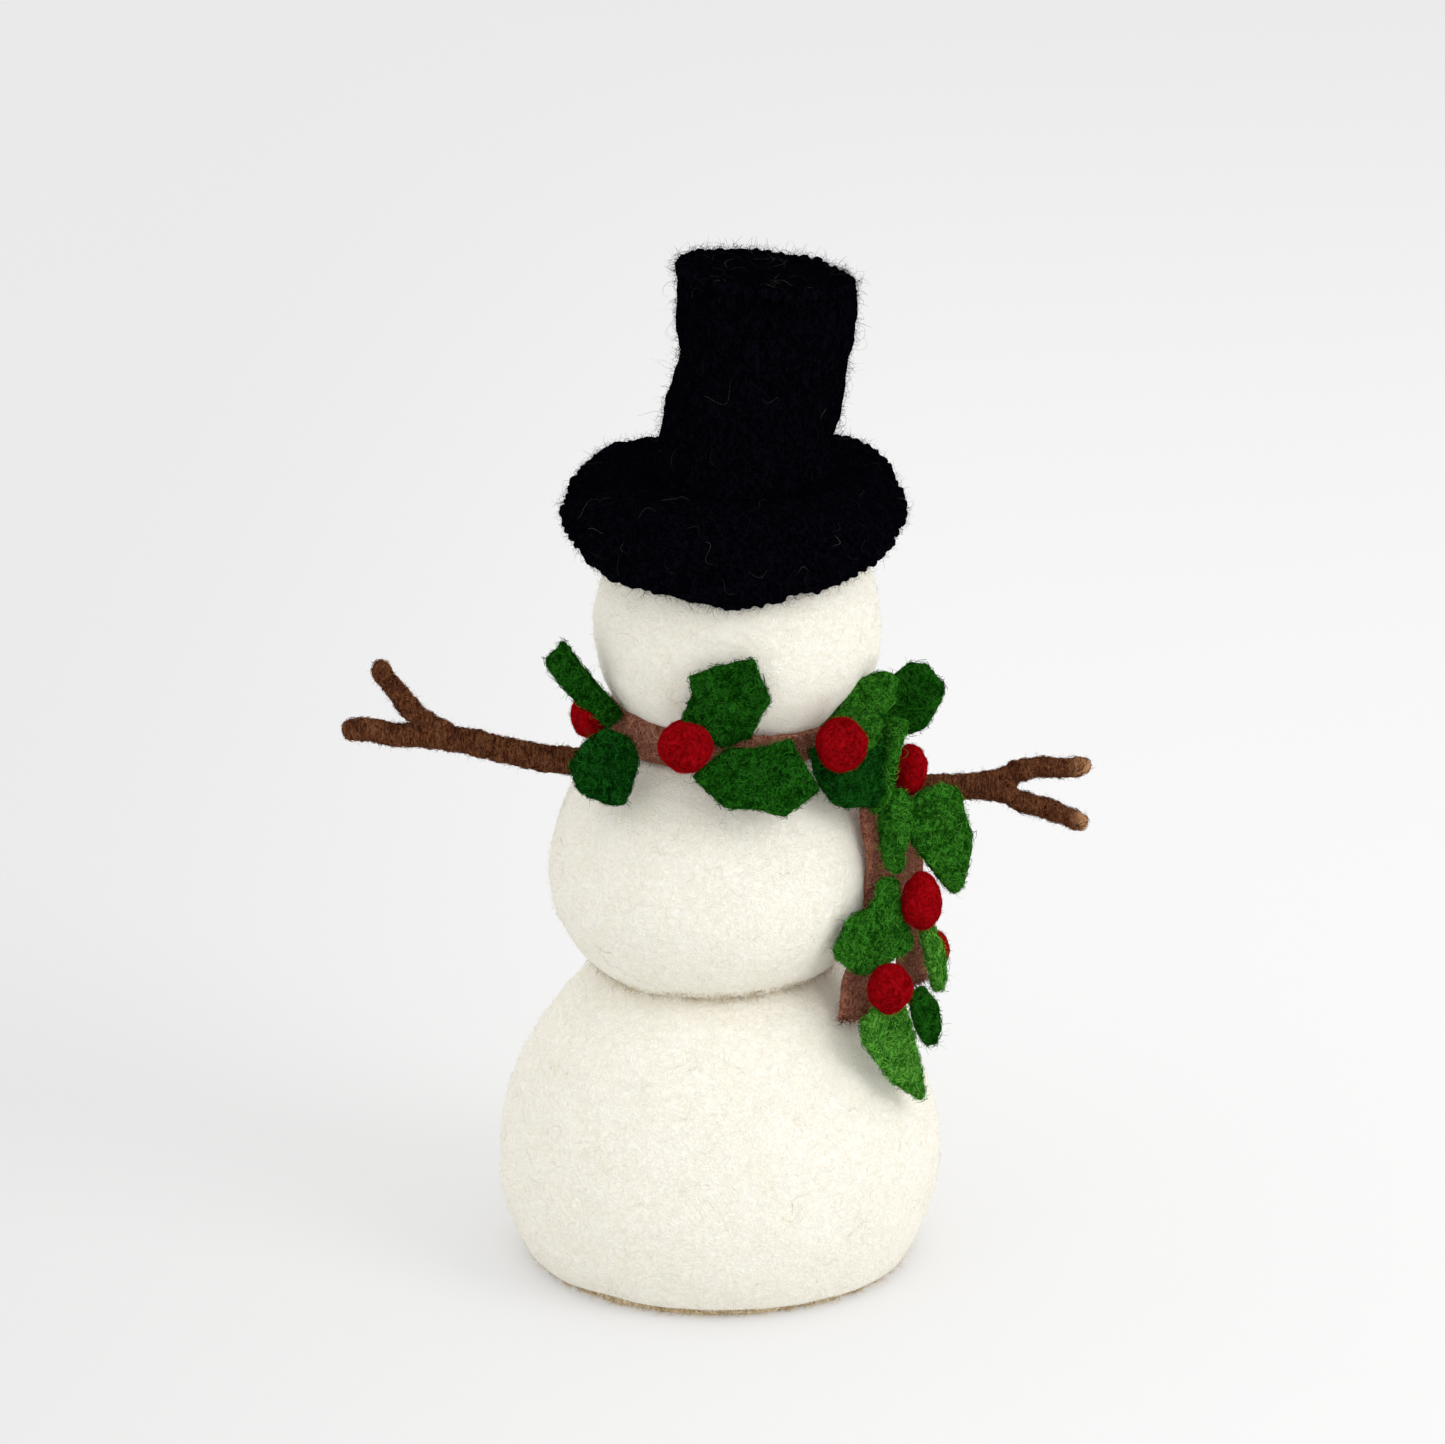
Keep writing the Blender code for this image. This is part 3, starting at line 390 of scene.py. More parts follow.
# The lumps of each felt, as (size, height) pairs.
LUMPS = {
    "ball": ((30, 1.1), (11, 0.5), (3.5, 0.14)),
    "sole": ((2.2, 0.22),),
    "brim": ((14, 1.1), (4.5, 0.6), (1.8, 0.25)),
    "brim yarn": ((6.0, 1.0), (2.6, 0.8), (1.3, 0.35)),
    "crown": ((15, 1.1), (4.5, 0.6), (2.2, 0.35)),
    "top": ((9, 0.7), (3.5, 0.4)),
    "top yarn": ((6.0, 1.1), (2.8, 0.9), (1.4, 0.4)),
    "arm": ((5.0, 0.45), (2.0, 0.28)),
    "tail": ((9, 0.6), (3, 0.3)),
    "collar": ((12, 0.6), (3, 0.3)),
    "leaf": ((3.0, 0.30), (1.2, 0.12)),
    "berry": ((7, 0.55), (2.6, 0.28), (1.2, 0.10)),
    "nose": ((4, 0.3), (1.5, 0.15)),
    "coal": ((3, 0.35), (1.2, 0.15)),
}
# How often threads take each of the four shades of their wool, from deep to light.
EVEN_ODDS = (0.25, 0.35, 0.25, 0.15)
DARK_ODDS = (0.40, 0.38, 0.17, 0.05)
STRAP_ODDS = (0.15, 0.25, 0.3, 0.3)
GREY_STRAY_ODDS = (0.3, 0.3, 0.3, 0.1)
TAN_STRAY_ODDS = (0.4, 0.3, 0.2, 0.1)
# Threads that stand: shortest, longest, lift, curl, points along them, thickness and shades.
STANDING = {
    "ball fuzz": (0.8, 3.2, 0.35, 0.6, 6, 0.11, (0.10, 0.25, 0.35, 0.30)),
    "foot fuzz": (1.5, 6.0, 0.4, 0.6, 7, 0.12, EVEN_ODDS),
    "sole fuzz": (1.2, 5.0, 0.4, 0.5, 7, 0.11, (0.10, 0.25, 0.33, 0.32)),
    "brim fuzz": (1.2, 5.0, 0.45, 0.6, 8, 0.08, DARK_ODDS),
    "brim yarn fuzz": (1.0, 5.0, 0.55, 0.6, 8, 0.075, DARK_ODDS),
    "crown fuzz": (1.2, 5.0, 0.5, 0.6, 8, 0.08, DARK_ODDS),
    "crown wisps": (4.0, 14.0, 0.5, 0.42, 15, 0.07, DARK_ODDS),
    "top fuzz": (1.2, 5.5, 0.5, 0.6, 8, 0.08, DARK_ODDS),
    "top yarn fuzz": (1.0, 6.0, 0.6, 0.5, 8, 0.075, DARK_ODDS),
    "arm fuzz": (0.8, 3.4, 0.35, 0.6, 6, 0.065, (0.08, 0.17, 0.30, 0.45)),
    "collar fuzz": (0.8, 3.6, 0.4, 0.65, 6, 0.10, STRAP_ODDS),
    "collar strays": (4.0, 12.0, 0.5, 0.55, 11, 0.08, TAN_STRAY_ODDS),
    "tail fuzz": (0.8, 4.0, 0.4, 0.65, 6, 0.10, STRAP_ODDS),
    "tail strays": (4.0, 10.0, 0.5, 0.55, 11, 0.08, TAN_STRAY_ODDS),
    "tail end": (1.0, 4.5, 0.6, 0.6, 6, 0.15, EVEN_ODDS),
    "leaf fuzz": (0.7, 2.8, 0.3, 0.75, 6, 0.10, (0.12, 0.28, 0.32, 0.28)),
    "leaf strays": (2.5, 7.0, 0.5, 0.35, 12, 0.08, (0.0, 0.2, 0.4, 0.4)),
    "berry fuzz": (0.6, 2.4, 0.35, 0.7, 6, 0.08, (0.25, 0.35, 0.3, 0.1)),
    "nose fuzz": (0.6, 2.2, 0.4, 0.6, 6, 0.09, EVEN_ODDS),
    "coal fuzz": (0.5, 1.6, 0.4, 0.6, 6, 0.09, EVEN_ODDS),
}
# Threads that lie: shortest, longest, height of their loops, swing, points along them, thickness and shades.
LYING = {
    "ball strays": (3.0, 11.0, 1.0, 0.18, 8, 0.07, EVEN_ODDS),
    "brim strays": (4.0, 11.0, 2.0, 0.2, 18, 0.07, GREY_STRAY_ODDS),
    "crown strays": (5.0, 15.0, 2.0, 0.2, 20, 0.07, GREY_STRAY_ODDS),
    "top strays": (6.0, 14.0, 1.8, 0.2, 18, 0.07, GREY_STRAY_ODDS),
    "arm wraps": (2.0, 5.5, 0.45, 0.15, 8, 0.15, (0.30, 0.22, 0.22, 0.26)),
    "leaf curls": (1.5, 5.5, 0.6, 0.22, 8, 0.19, (0.48, 0.12, 0.10, 0.30)),
    "berry curls": (3.0, 9.0, 0.4, 0.16, 8, 0.08, (0.0, 0.4, 0.4, 0.2)),
}


def unit(vectors):
    """The same vectors, each one long."""
    lengths = np.linalg.norm(vectors, axis=-1, keepdims=True)
    return vectors / np.maximum(lengths, 1e-9)


def circle(count):
    """Evenly spaced angles round a full turn."""
    return np.linspace(0, tau, count, endpoint=False)


def rough(points, size, seed=0):
    """Smooth noise from -1 to 1 at each point, with bumps about size across."""
    shift = Vector((17.3 * seed, 5.1 * seed, 9.7 * seed))
    return np.array([noise.noise(Vector(point) / size + shift) for point in points.tolist()])


def facings(points, faces):
    """The way the skin faces at each of its points."""
    corners = points[faces]
    across = np.cross(corners[:, 1] - corners[:, 0], corners[:, 2] - corners[:, 0])
    normals = np.zeros_like(points)
    for corner in range(3):
        np.add.at(normals, faces[:, corner], across)
    return unit(normals)


def outward(points, faces):
    """The same triangles, turned so that the closed skin faces out."""
    corners = points[faces]
    volume = np.einsum("ij,ij->i", corners[:, 0], np.cross(corners[:, 1], corners[:, 2])).sum()
    return faces if volume > 0 else faces[:, ::-1]


def felted(skin, kind, seed=0):
    """The skin pushed in and out by the lumps of one kind of felt."""
    points, faces = skin
    normals = facings(points, faces)
    push = sum(height * rough(points, size, seed + 3 * i) for i, (size, height) in enumerate(LUMPS[kind]))
    return points + normals * push[:, None], faces


def band(index, follow):
    """Two triangles for each cell between the rows of point numbers in index and in follow."""
    a, b = index, np.roll(index, -1, axis=1)
    d, c = follow, np.roll(follow, -1, axis=1)
    return np.concatenate([np.stack(cell, -1).reshape(-1, 3) for cell in ((a, b, c), (a, c, d))])


def capped(rings):
    """A closed skin over rings of points, with a point in the middle of each end."""
    count, around = rings.shape[:2]
    points = np.concatenate([rings.reshape(-1, 3), rings[:1].mean(1), rings[-1:].mean(1)])
    index = np.arange(count * around).reshape(count, around)
    low, high = np.full(around, count * around), np.full(around, count * around + 1)
    first = np.stack([low, np.roll(index[0], -1), index[0]], -1)
    last = np.stack([high, index[-1], np.roll(index[-1], -1)], -1)
    faces = np.concatenate([band(index[:-1], index[1:]), first, last])
    return points, outward(points, faces)


def looped(rings):
    """A closed skin over rings of points whose last ring meets the first."""
    count, around = rings.shape[:2]
    points = rings.reshape(-1, 3)
    index = np.arange(count * around).reshape(count, around)
    faces = band(index, np.roll(index, -1, axis=0))
    return points, outward(points, faces)


def joined(*skins):
    """Several skins as one."""
    points, faces, offset = [], [], 0
    for some, cells in skins:
        points.append(some)
        faces.append(cells + offset)
        offset += len(some)
    return np.concatenate(points), np.concatenate(faces)


def shares(length, thickness, step):
    """Even shares of a length, with closer ones where a sheet's edge is rounded."""
    rim = np.array([0.0, 0.06, 0.2, 0.5]) * thickness / length
    near = 0.9 * thickness / length
    middle = np.linspace(near, 1 - near, max(2, round(length / step)))
    return np.concatenate([rim, middle, 1 - rim[::-1]])


def rim_height(depth, thickness):
    """Half the thickness of a sheet, at each depth in from its rounded edge."""
    run = 1 - np.clip(depth / (thickness / 2), 0, 1)
    return thickness / 2 * np.sqrt(1 - run**2)


def run_along(line):
    """How far along a line each of its points is."""
    return np.concatenate([[0], np.cumsum(np.linalg.norm(np.diff(line, axis=0), axis=1))])


def section(line, sides, thickness, ease=1.0):
    """The closed outline of a sheet of this thickness about a line of points."""
    run = run_along(line)
    height = rim_height(np.minimum(run, run[-1] - run), thickness)[:, None] * ease
    return np.concatenate([line + sides * height, (line - sides * height)[-2:0:-1]])


def smooth_path(points, step=0.8):
    """Points about a step apart along a Catmull-Rom line through the points."""
    points = np.array(points, float)
    ends = np.concatenate([2 * points[:1] - points[1:2], points, 2 * points[-1:] - points[-2:-1]])
    line = []
    for a, b, c, d in zip(ends, ends[1:], ends[2:], ends[3:]):
        for t in np.arange(0, 1, step / np.linalg.norm(c - b)):
            square = (2 * a - 5 * b + 4 * c - d) * t**2
            cube = (3 * b - a - 3 * c + d) * t**3
            line.append(0.5 * (2 * b + (c - a) * t + square + cube))
    line.append(points[-1])
    return np.array(line)


def spokes(wide, deep, around):
    """Evenly turned ways out from each point of a path."""
    angles = circle(around)
    return wide[:, None] * np.cos(angles)[None, :, None] + deep[:, None] * np.sin(angles)[None, :, None]


def tube(path, radii, around=16):
    """Rings of points square to a path."""
    forward = unit(np.gradient(path, axis=0))
    helper = np.array([0.0, 1.0, 0.0]) if abs(forward[0][1]) < 0.9 else np.array([0.0, 0.0, 1.0])
    wide = unit(np.cross(helper, forward))
    deep = np.cross(forward, wide)
    return path[:, None] + spokes(wide, deep, around) * np.asarray(radii)[:, :, None]


def add_object(name, data):
    """A new object in the scene, for a mesh, a lamp or a camera."""
    made = bpy.data.objects.new(name, data)
    bpy.context.scene.collection.objects.link(made)
    return made


def add_mesh(name, points, faces, paints, shade=None):
    """An object in metres from points in millimetres; shade gives each face the number of its paint."""
    mesh = bpy.data.meshes.new(name)
    mesh.vertices.add(len(points))
    mesh.vertices.foreach_set("co", (np.asarray(points) * MM).astype(np.float32).ravel())
    mesh.loops.add(faces.size)
    mesh.loops.foreach_set("vertex_index", faces.astype(np.int32).ravel())
    mesh.polygons.add(len(faces))
    mesh.polygons.foreach_set("loop_start", np.arange(len(faces), dtype=np.int32) * 3)
    if shade is not None:
        mesh.polygons.foreach_set("material_index", shade.astype(np.int32))
    for paint in paints:
        mesh.materials.append(paint)
    mesh.update(calc_edges=True)
    mesh.shade_smooth()
    return add_object(name, mesh)


def feed(tree, node, inputs):
    """Give each named input of a shader node its value, or link it to its socket."""
    for key, value in inputs.items():
        if isinstance(value, bpy.types.NodeSocket):
            tree.links.new(value, node.inputs[key])
        else:
            node.inputs[key].default_value = value


def put(tree, kind, inputs=None, **settings):
    """A shader node with its settings, whose inputs are values or sockets to link."""
    made = tree.nodes.new("ShaderNode" + kind)
    for key, value in settings.items():
        setattr(made, key, value)
    feed(tree, made, inputs or {})
    return made


def blank(name):
    """A new material with only its shader, and that shader."""
    made = bpy.data.materials.new(name)
    made.use_nodes = True
    return made, made.node_tree, made.node_tree.nodes["Principled BSDF"]


def mixed(tree, share, low, high):
    """A colour between low and high."""
    return put(tree, "Mix", {0: share, 6: low, 7: high}, data_type="RGBA").outputs[2]


def ramped(tree, value, low, high):
    """A value eased from 0 at low to 1 at high."""
    inputs = {"Value": value, "From Min": low, "From Max": high}
    return put(tree, "MapRange", inputs, interpolation_type="SMOOTHSTEP").outputs["Result"]


def sum_of(tree, values):
    """The sum of weighted values, given as (socket, weight) pairs."""
    total = 0.0
    for value, weight in values:
        total = put(tree, "Math", {0: value, 1: weight, 2: total}, operation="MULTIPLY_ADD").outputs[0]
    return total


def cloud(tree, place, size, detail):
    """Smooth noise, with clouds about size across."""
    inputs = {"Vector": place, "Scale": 1 / (size * MM), "Detail": detail}
    return put(tree, "TexNoise", inputs).outputs["Fac"]


def fibre_web(tree, place, size, line):
    """Curly lines where three noises pass through their middle values: 1 on a line and 0 between."""
    inputs = {"Vector": place, "Scale": 1 / (size * MM), "Detail": 1.5, "Distortion": 0.9}
    curls = put(tree, "TexNoise", inputs).outputs["Color"]
    parts = put(tree, "SeparateColor", {"Color": curls})
    found = None
    for part in parts.outputs:
        off = put(tree, "Math", {0: part, 1: 0.5}, operation="SUBTRACT").outputs[0]
        near = put(tree, "Math", {0: off}, operation="ABSOLUTE").outputs[0]
        here = ramped(tree, near, line, 0.0)
        if found is not None:
            here = put(tree, "Math", {0: found, 1: here}, operation="MAXIMUM").outputs[0]
        found = here
    return found


def felt(name, tanned=None):
    """A felted wool: cloudy colour, matted pits and a web of lighter curled fibres that also stands up.

    tanned names a stretch of x, in metres, over which the wool turns to a paler tan."""
    deep, plain, light = [(*colour, 1.0) for colour in WOOLS[name]]
    size, web, bump, sheen, stretch = FELTS[name]
    made, tree, shader = blank(name)
    place = put(tree, "TexCoord").outputs["Object"]
    across = put(tree, "SeparateXYZ", {"Vector": place}).outputs["X"]
    place = put(tree, "Mapping", {"Vector": place, "Scale": stretch}).outputs["Vector"]
    clouds = cloud(tree, place, size * 6, 2.0)
    pits = cloud(tree, place, size * 0.7, 3.0)
    coarse = fibre_web(tree, place, size * 1.8, 0.045)
    fine = fibre_web(tree, place, size * 0.95, 0.08)
    tone = sum_of(tree, [(clouds, 0.6), (pits, 0.9)])
    ground = mixed(tree, ramped(tree, tone, 0.55, 0.95), deep, plain)
    threads = sum_of(tree, [(coarse, web * 0.75), (fine, web * 0.45)])
    colour = mixed(tree, threads, ground, light)
    if tanned:
        colour = mixed(tree, ramped(tree, across, *tanned), colour, (*TIP_TAN, 1.0))
    height = sum_of(tree, [(coarse, 0.5), (fine, 0.35), (pits, 0.8)])
    relief = put(tree, "Bump", {"Height": height, "Strength": bump, "Distance": 0.45 * MM}).outputs["Normal"]
    dry = put(tree, "MapRange", {"Value": pits, "To Min": 0.82, "To Max": 1.0}).outputs["Result"]
    feed(tree, shader, {"Base Color": colour, "Normal": relief, "Roughness": dry, "Specular IOR Level": 0.0})
    feed(tree, shader, {"Sheen Weight": sheen, "Sheen Roughness": 0.6, "Sheen Tint": light})
    return made


def thread_paints(name):
    """Plain wools for the loose threads of one felt, from deep to light."""
    deep, plain, light = [np.array(colour) for colour in WOOLS[name]]
    made = []
    for i, colour in enumerate((0.5 * (deep + plain), plain, 0.5 * (plain + light), light)):
        paint, tree, shader = blank(f"{name} thread {i + 1}")
        feed(tree, shader, {"Base Color": (*colour, 1.0), "Roughness": 0.9, "Specular IOR Level": 0.0})
        made.append(paint)
    return made


def grained(name, stretch, scale, detail):
    """A new material with its shader, and noise drawn out into lines along the piece."""
    made, tree, shader = blank(name)
    place = put(tree, "TexCoord").outputs["Object"]
    place = put(tree, "Mapping", {"Vector": place, "Scale": stretch}).outputs["Vector"]
    grain = put(tree, "TexNoise", {"Vector": place, "Scale": scale, "Detail": detail}).outputs["Fac"]
    return made, tree, shader, grain


def rod_wood():
    """Plain turned wood for the rod inside the balls."""
    made, tree, shader, grain = grained("plain wood", (1, 1, 0.06), 900.0, 4.0)
    colour = mixed(tree, ramped(tree, grain, 0.35, 0.7), (0.36, 0.22, 0.11, 1), (0.62, 0.45, 0.27, 1))
    relief = put(tree, "Bump", {"Height": grain, "Strength": 0.3, "Distance": 0.2 * MM}).outputs["Normal"]
    feed(tree, shader, {"Base Color": colour, "Normal": relief, "Roughness": 0.6})
    return made


def drawn_steel():
    """Bare wire with fine drawing lines along it."""
    made, tree, shader, lines = grained("drawn steel", (0.05, 1, 1), 4000.0, 3.0)
    colour = mixed(tree, lines, (0.38, 0.38, 0.39, 1), (0.58, 0.58, 0.60, 1))
    dull = put(tree, "MapRange", {"Value": lines, "To Min": 0.25, "To Max": 0.45}).outputs["Result"]
    feed(tree, shader, {"Base Color": colour, "Roughness": dull, "Metallic": 1.0})
    return made


FELT = {name: felt(name) for name in WOOLS}
FELT["brown wool tanned"] = felt("brown wool", TAN_TIPS)
THREADS = {name: thread_paints(name) for name in WOOLS}


def stand_in(name, skin, wool, body, slot, replaces):
    """A felt piece made from a skin, which stands for its CAD nodes and rides their body."""
    made = add_mesh(name, *skin, [FELT[wool]])
    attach(made, body)
    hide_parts(*replaces)
    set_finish(made, slot)
    return made


def scatter(skin, count, weigh=None):
    """Random places all over a skin, and the way it faces there."""
    points, faces = skin
    corners = points[faces]
    across = np.cross(corners[:, 1] - corners[:, 0], corners[:, 2] - corners[:, 0])
    area = np.linalg.norm(across, axis=1)
    if weigh is not None:
        area = area * weigh(corners.mean(1), unit(across))
    pick = RANDOM.choice(len(faces), count, p=area / area.sum())
    s, t = np.sqrt(RANDOM.random(count)), RANDOM.random(count)
    shares_of = np.stack([1 - s, s * (1 - t), s * t], -1)
    return (corners[pick] * shares_of[:, :, None]).sum(1), unit(across[pick])


def between(low, high):
    """A weight for places on a skin: only those between two heights."""
    return lambda at, way: (at[:, 2] > low) * (at[:, 2] < high) * 1.0


def beyond(middle_x, reach, over=-1.0):
    """A weight for places on a skin: only those past a reach from an upright line, and over a height."""
    return lambda at, way: (np.hypot(at[:, 0] - middle_x, at[:, 1]) > reach) * (at[:, 2] > over) * 1.0


def upward(least):
    """A weight for places on a skin: only those that face up by at least this much."""
    return lambda at, way: (way[:, 2] > least) * 1.0


def standing(places, facing, lengths, lift, curl, steps):
    """Fibres that leave the skin at a slant and curl as they go; lift 1 stands them straight out."""
    count = len(places)
    flat = unit(np.cross(facing, RANDOM.normal(size=(count, 3))))
    rise = np.clip(RANDOM.normal(lift, 0.2, count), 0.05, 1.0)[:, None]
    heading = unit(flat * (1 - rise) + facing * rise)
    axis = unit(RANDOM.normal(size=(count, 3)))
    turn = (curl * RANDOM.uniform(0.4, 1.3, count) * RANDOM.choice((-1, 1), count))[:, None]
    path = [places - facing * 0.3]
    for _ in range(steps - 1):
        path.append(path[-1] + heading * (lengths / (steps - 1))[:, None])
        heading = heading * np.cos(turn) + np.cross(axis, heading) * np.sin(turn)
        heading = unit(heading + RANDOM.normal(0, 0.12, (count, 3)))
    return np.stack(path, 1)


def lying(places, facing, lengths, height, swing, round_by, steps):
    """Curled fibres that lie along the skin and loop a little way off it; round_by is the skin's radius."""
    count = len(places)
    flat = unit(np.cross(facing, RANDOM.normal(size=(count, 3))))
    side = np.cross(facing, flat)
    t = np.linspace(0, 1, steps)[None, :]
    along = (t - 0.5) * lengths[:, None]
    waves = RANDOM.uniform(0.4, 1.2, (count, 1))
    start = RANDOM.uniform(0, tau, (count, 1))
    sideways = swing * lengths[:, None] * np.sin(tau * waves * t + start)
    up = RANDOM.uniform(0.2, 1.0, (count, 1)) * height * np.sin(pi * t)
    if round_by:
        up = up - (along**2 + sideways**2) / (2 * round_by)
    spread = flat[:, None] * along[..., None] + side[:, None] * sideways[..., None]
    return places[:, None] + (spread + facing[:, None] * up[..., None])


def thread_skin(paths, thick):
    """Three-sided threads along the paths, which thin towards their tips."""
    count, steps = paths.shape[:2]
    forward = unit(np.gradient(paths, axis=1))
    wide = unit(np.cross(forward, RANDOM.normal(size=(count, 1, 3))))
    deep = np.cross(forward, wide)
    taper = np.interp(np.linspace(0, 1, steps), (0, 0.15, 0.6, 1), (0.75, 1, 0.85, 0.12))
    radius = thick / 2 * taper[None, :] * RANDOM.uniform(0.7, 1.3, (count, 1))
    corners = []
    for angle in (0, tau / 3, 2 * tau / 3):
        corners.append(paths + (wide * cos(angle) + deep * sin(angle)) * radius[..., None])
    points = np.stack(corners, 2).reshape(-1, 3)
    index = np.arange(count * steps * 3).reshape(count, steps, 3)
    low, high = index[:, :-1], index[:, 1:]
    cells = []
    for k in range(3):
        j = (k + 1) % 3
        cells.append(np.stack([low[..., k], low[..., j], high[..., j]], -1).reshape(count, -1, 3))
        cells.append(np.stack([low[..., k], high[..., j], high[..., k]], -1).reshape(count, -1, 3))
    ends = [index[:, 0, ::-1][:, None], index[:, -1][:, None]]
    return points, np.concatenate(cells + ends, axis=1)


def fuzz(owner, name, wool, paths, thick, odds):
    """Loose threads as child pieces of the felt that they stand on, in the shades of its wool."""
    paths[..., 2] = np.maximum(paths[..., 2], FLOOR_GAP)
    for number, some in enumerate(np.array_split(paths, 1 + len(paths) // THREADS_PER_PIECE)):
        points, faces = thread_skin(some, thick)
        order = np.argsort(rough(some[:, 0], 2.6, 7) + RANDOM.normal(0, 0.25, len(some)))
        shade = np.empty(len(some), int)
        shade[order] = np.searchsorted(np.cumsum(odds), (np.arange(len(some)) + 0.5) / len(some))
        shade = np.repeat(shade, faces.shape[1])
        made = add_mesh(f"{name}_{number + 1}", points, faces.reshape(-1, 3), THREADS[wool], shade)
        made.parent = owner
        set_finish(made, owner["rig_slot"])


def lengths(count, low, high):
    """Random lengths, more of them short than long."""
    return low + (high - low) * RANDOM.random(count) ** 1.6


def grow(owner, name, wool, skin, count, kind, weigh=None, top=None):
    """Threads of one standing kind all over a skin, or where it is weighed, and no higher than top."""
    low, high, lift, curl, steps, thick, odds = STANDING[kind]
    places = scatter(skin, count, weigh)
    paths = standing(*places, lengths(count, low, high), lift, curl, steps)
    if top:
        paths[..., 2] = np.minimum(paths[..., 2], top)
    fuzz(owner, name, wool, paths, thick, odds)


def lay(owner, name, wool, skin, count, kind, weigh=None, round_by=None):
    """Threads of one lying kind all over a skin, or where it is weighed."""
    low, high, height, swing, steps, thick, odds = LYING[kind]
    places = scatter(skin, count, weigh)
    paths = lying(*places, lengths(count, low, high), height, swing, round_by, steps)
    fuzz(owner, name, wool, paths, thick, odds)


def ball_skin(centre_x, middle_z, radius, up, down, foot, around=220, rows=150):
    """The closed skin of a felt ball, cut level at its foot."""
    start = np.arccos(np.clip((middle_z - foot) / down, -1, 1))
    swing = np.linspace(start, pi - 0.01, rows)
    z = np.where(swing < pi / 2, middle_z - down * np.cos(swing), middle_z - up * np.cos(swing))
    reach = radius * np.sin(swing)
    angles = circle(around)
    rings = np.empty((rows, around, 3))
    rings[..., 0] = centre_x + reach[:, None] * np.cos(angles)
    rings[..., 1] = reach[:, None] * np.sin(angles)
    rings[..., 2] = z[:, None]
    return capped(rings)


def pebble(size, centre, kind, seed, around, rows):
    """A small felted ball about its centre, with its half size along each axis."""
    points, faces = ball_skin(0, 0, 1, 1, 1, -0.999, around, rows)
    points, faces = felted((points * np.array(size), faces), kind, seed)
    return points + np.array(centre), faces


def build_balls():
    for number, (name, shape) in enumerate(BALLS.items()):
        count, strays, low, high = BALL_WOOL[name]
        points, faces = felted(ball_skin(*shape), "ball", 5 + number)
        points[:, 2] = np.maximum(points[:, 2], shape[5] - 1.0)
        skin = points, faces
        ball = stand_in(name + "_skin", skin, "white wool", "snowman", "white_wool_felt", [name + "_felt"])
        grow(ball, name + "_fuzz", "white wool", skin, count, "ball fuzz", between(low, high))
        lay(ball, name + "_strays", "tan strays", skin, strays, "ball strays", between(low, high), shape[2])
    # The tan fringe at the middle ball's foot also paints shade into the crease between the balls.
    for name, wool, low, high in FOOT_FRINGES:
        ball = bpy.data.objects[name + "_skin"]
        skin = ball_skin(*BALLS[name])
        grow(ball, name + "_foot_fuzz", wool, skin, FOOT_FIBRES, "foot fuzz", between(low, high))


def build_sole():
    """Coarse felt under the lower ball, with a ragged edge."""
    around = 300
    angles = circle(around)
    rim = np.stack([60 * np.cos(angles), 60 * np.sin(angles), 0 * angles], -1)
    ragged = SOLE_RADIUS + 0.9 * rough(rim, 4.0, 2)
    rings = []
    for share, z in SOLE_RINGS:
        reach = ragged * max(share, 0.02)
        rings.append(np.stack([reach * np.cos(angles), reach * np.sin(angles), np.full(around, z)], -1))
    skin = felted(capped(np.array(rings)), "sole", 3)
    skin[0][:, 2] = np.maximum(skin[0][:, 2], 0.0)
    sole = stand_in("sole_skin", skin, "coarse grey", "snowman", "coarse_grey_felt", ["sole"])
    edge = beyond(0, 54.5, 0.4)
    grow(sole, "sole_fuzz", "coarse grey", skin, SOLE_FIBRES, "sole fuzz", edge, SOLE_FUZZ_TOP)


def brim_point(angle, share):
    """A point of the brim's upper side: share 0 at the hole and 1 at the edge."""
    far, side, near = BRIM_DROPS
    toward_face, toward_back = max(0.0, sin(angle)), max(0.0, -sin(angle))
    drop = far + (side - far) * (1 - toward_face) ** 1.5 + (near - side) * toward_back**1.4
    drop += BRIM_WAVE * sin(7 * angle) - BRIM_LIFT * max(0.0, cos(angle - BRIM_LIFT_TURN)) ** 8
    bulge = sum(size * max(0.0, cos(angle - turn)) ** 6 for turn, size in BRIM_BULGES)
    reach = BRIM_HOLE + (BRIM_RADIUS + bulge - BRIM_TUCK * toward_back**2 - BRIM_HOLE) * share
    centre_x = CROWN_BASE_X + (BRIM_X - CROWN_BASE_X) * share
    z = BRIM_Z - drop * max(0.0, (share - 0.2) / 0.8) ** 1.35
    return np.array([centre_x + reach * cos(angle), reach * sin(angle), z])


def sheet_sides(line):
    """The way the upper face looks at each point of a line that runs outwards."""
    forward = unit(np.gradient(line, axis=0))
    level = unit(np.cross(forward[len(line) // 2], np.array([0.0, 0.0, 1.0])))
    sides = unit(np.cross(level, forward))
    return sides if sides[len(line) // 2][2] > 0 else -sides


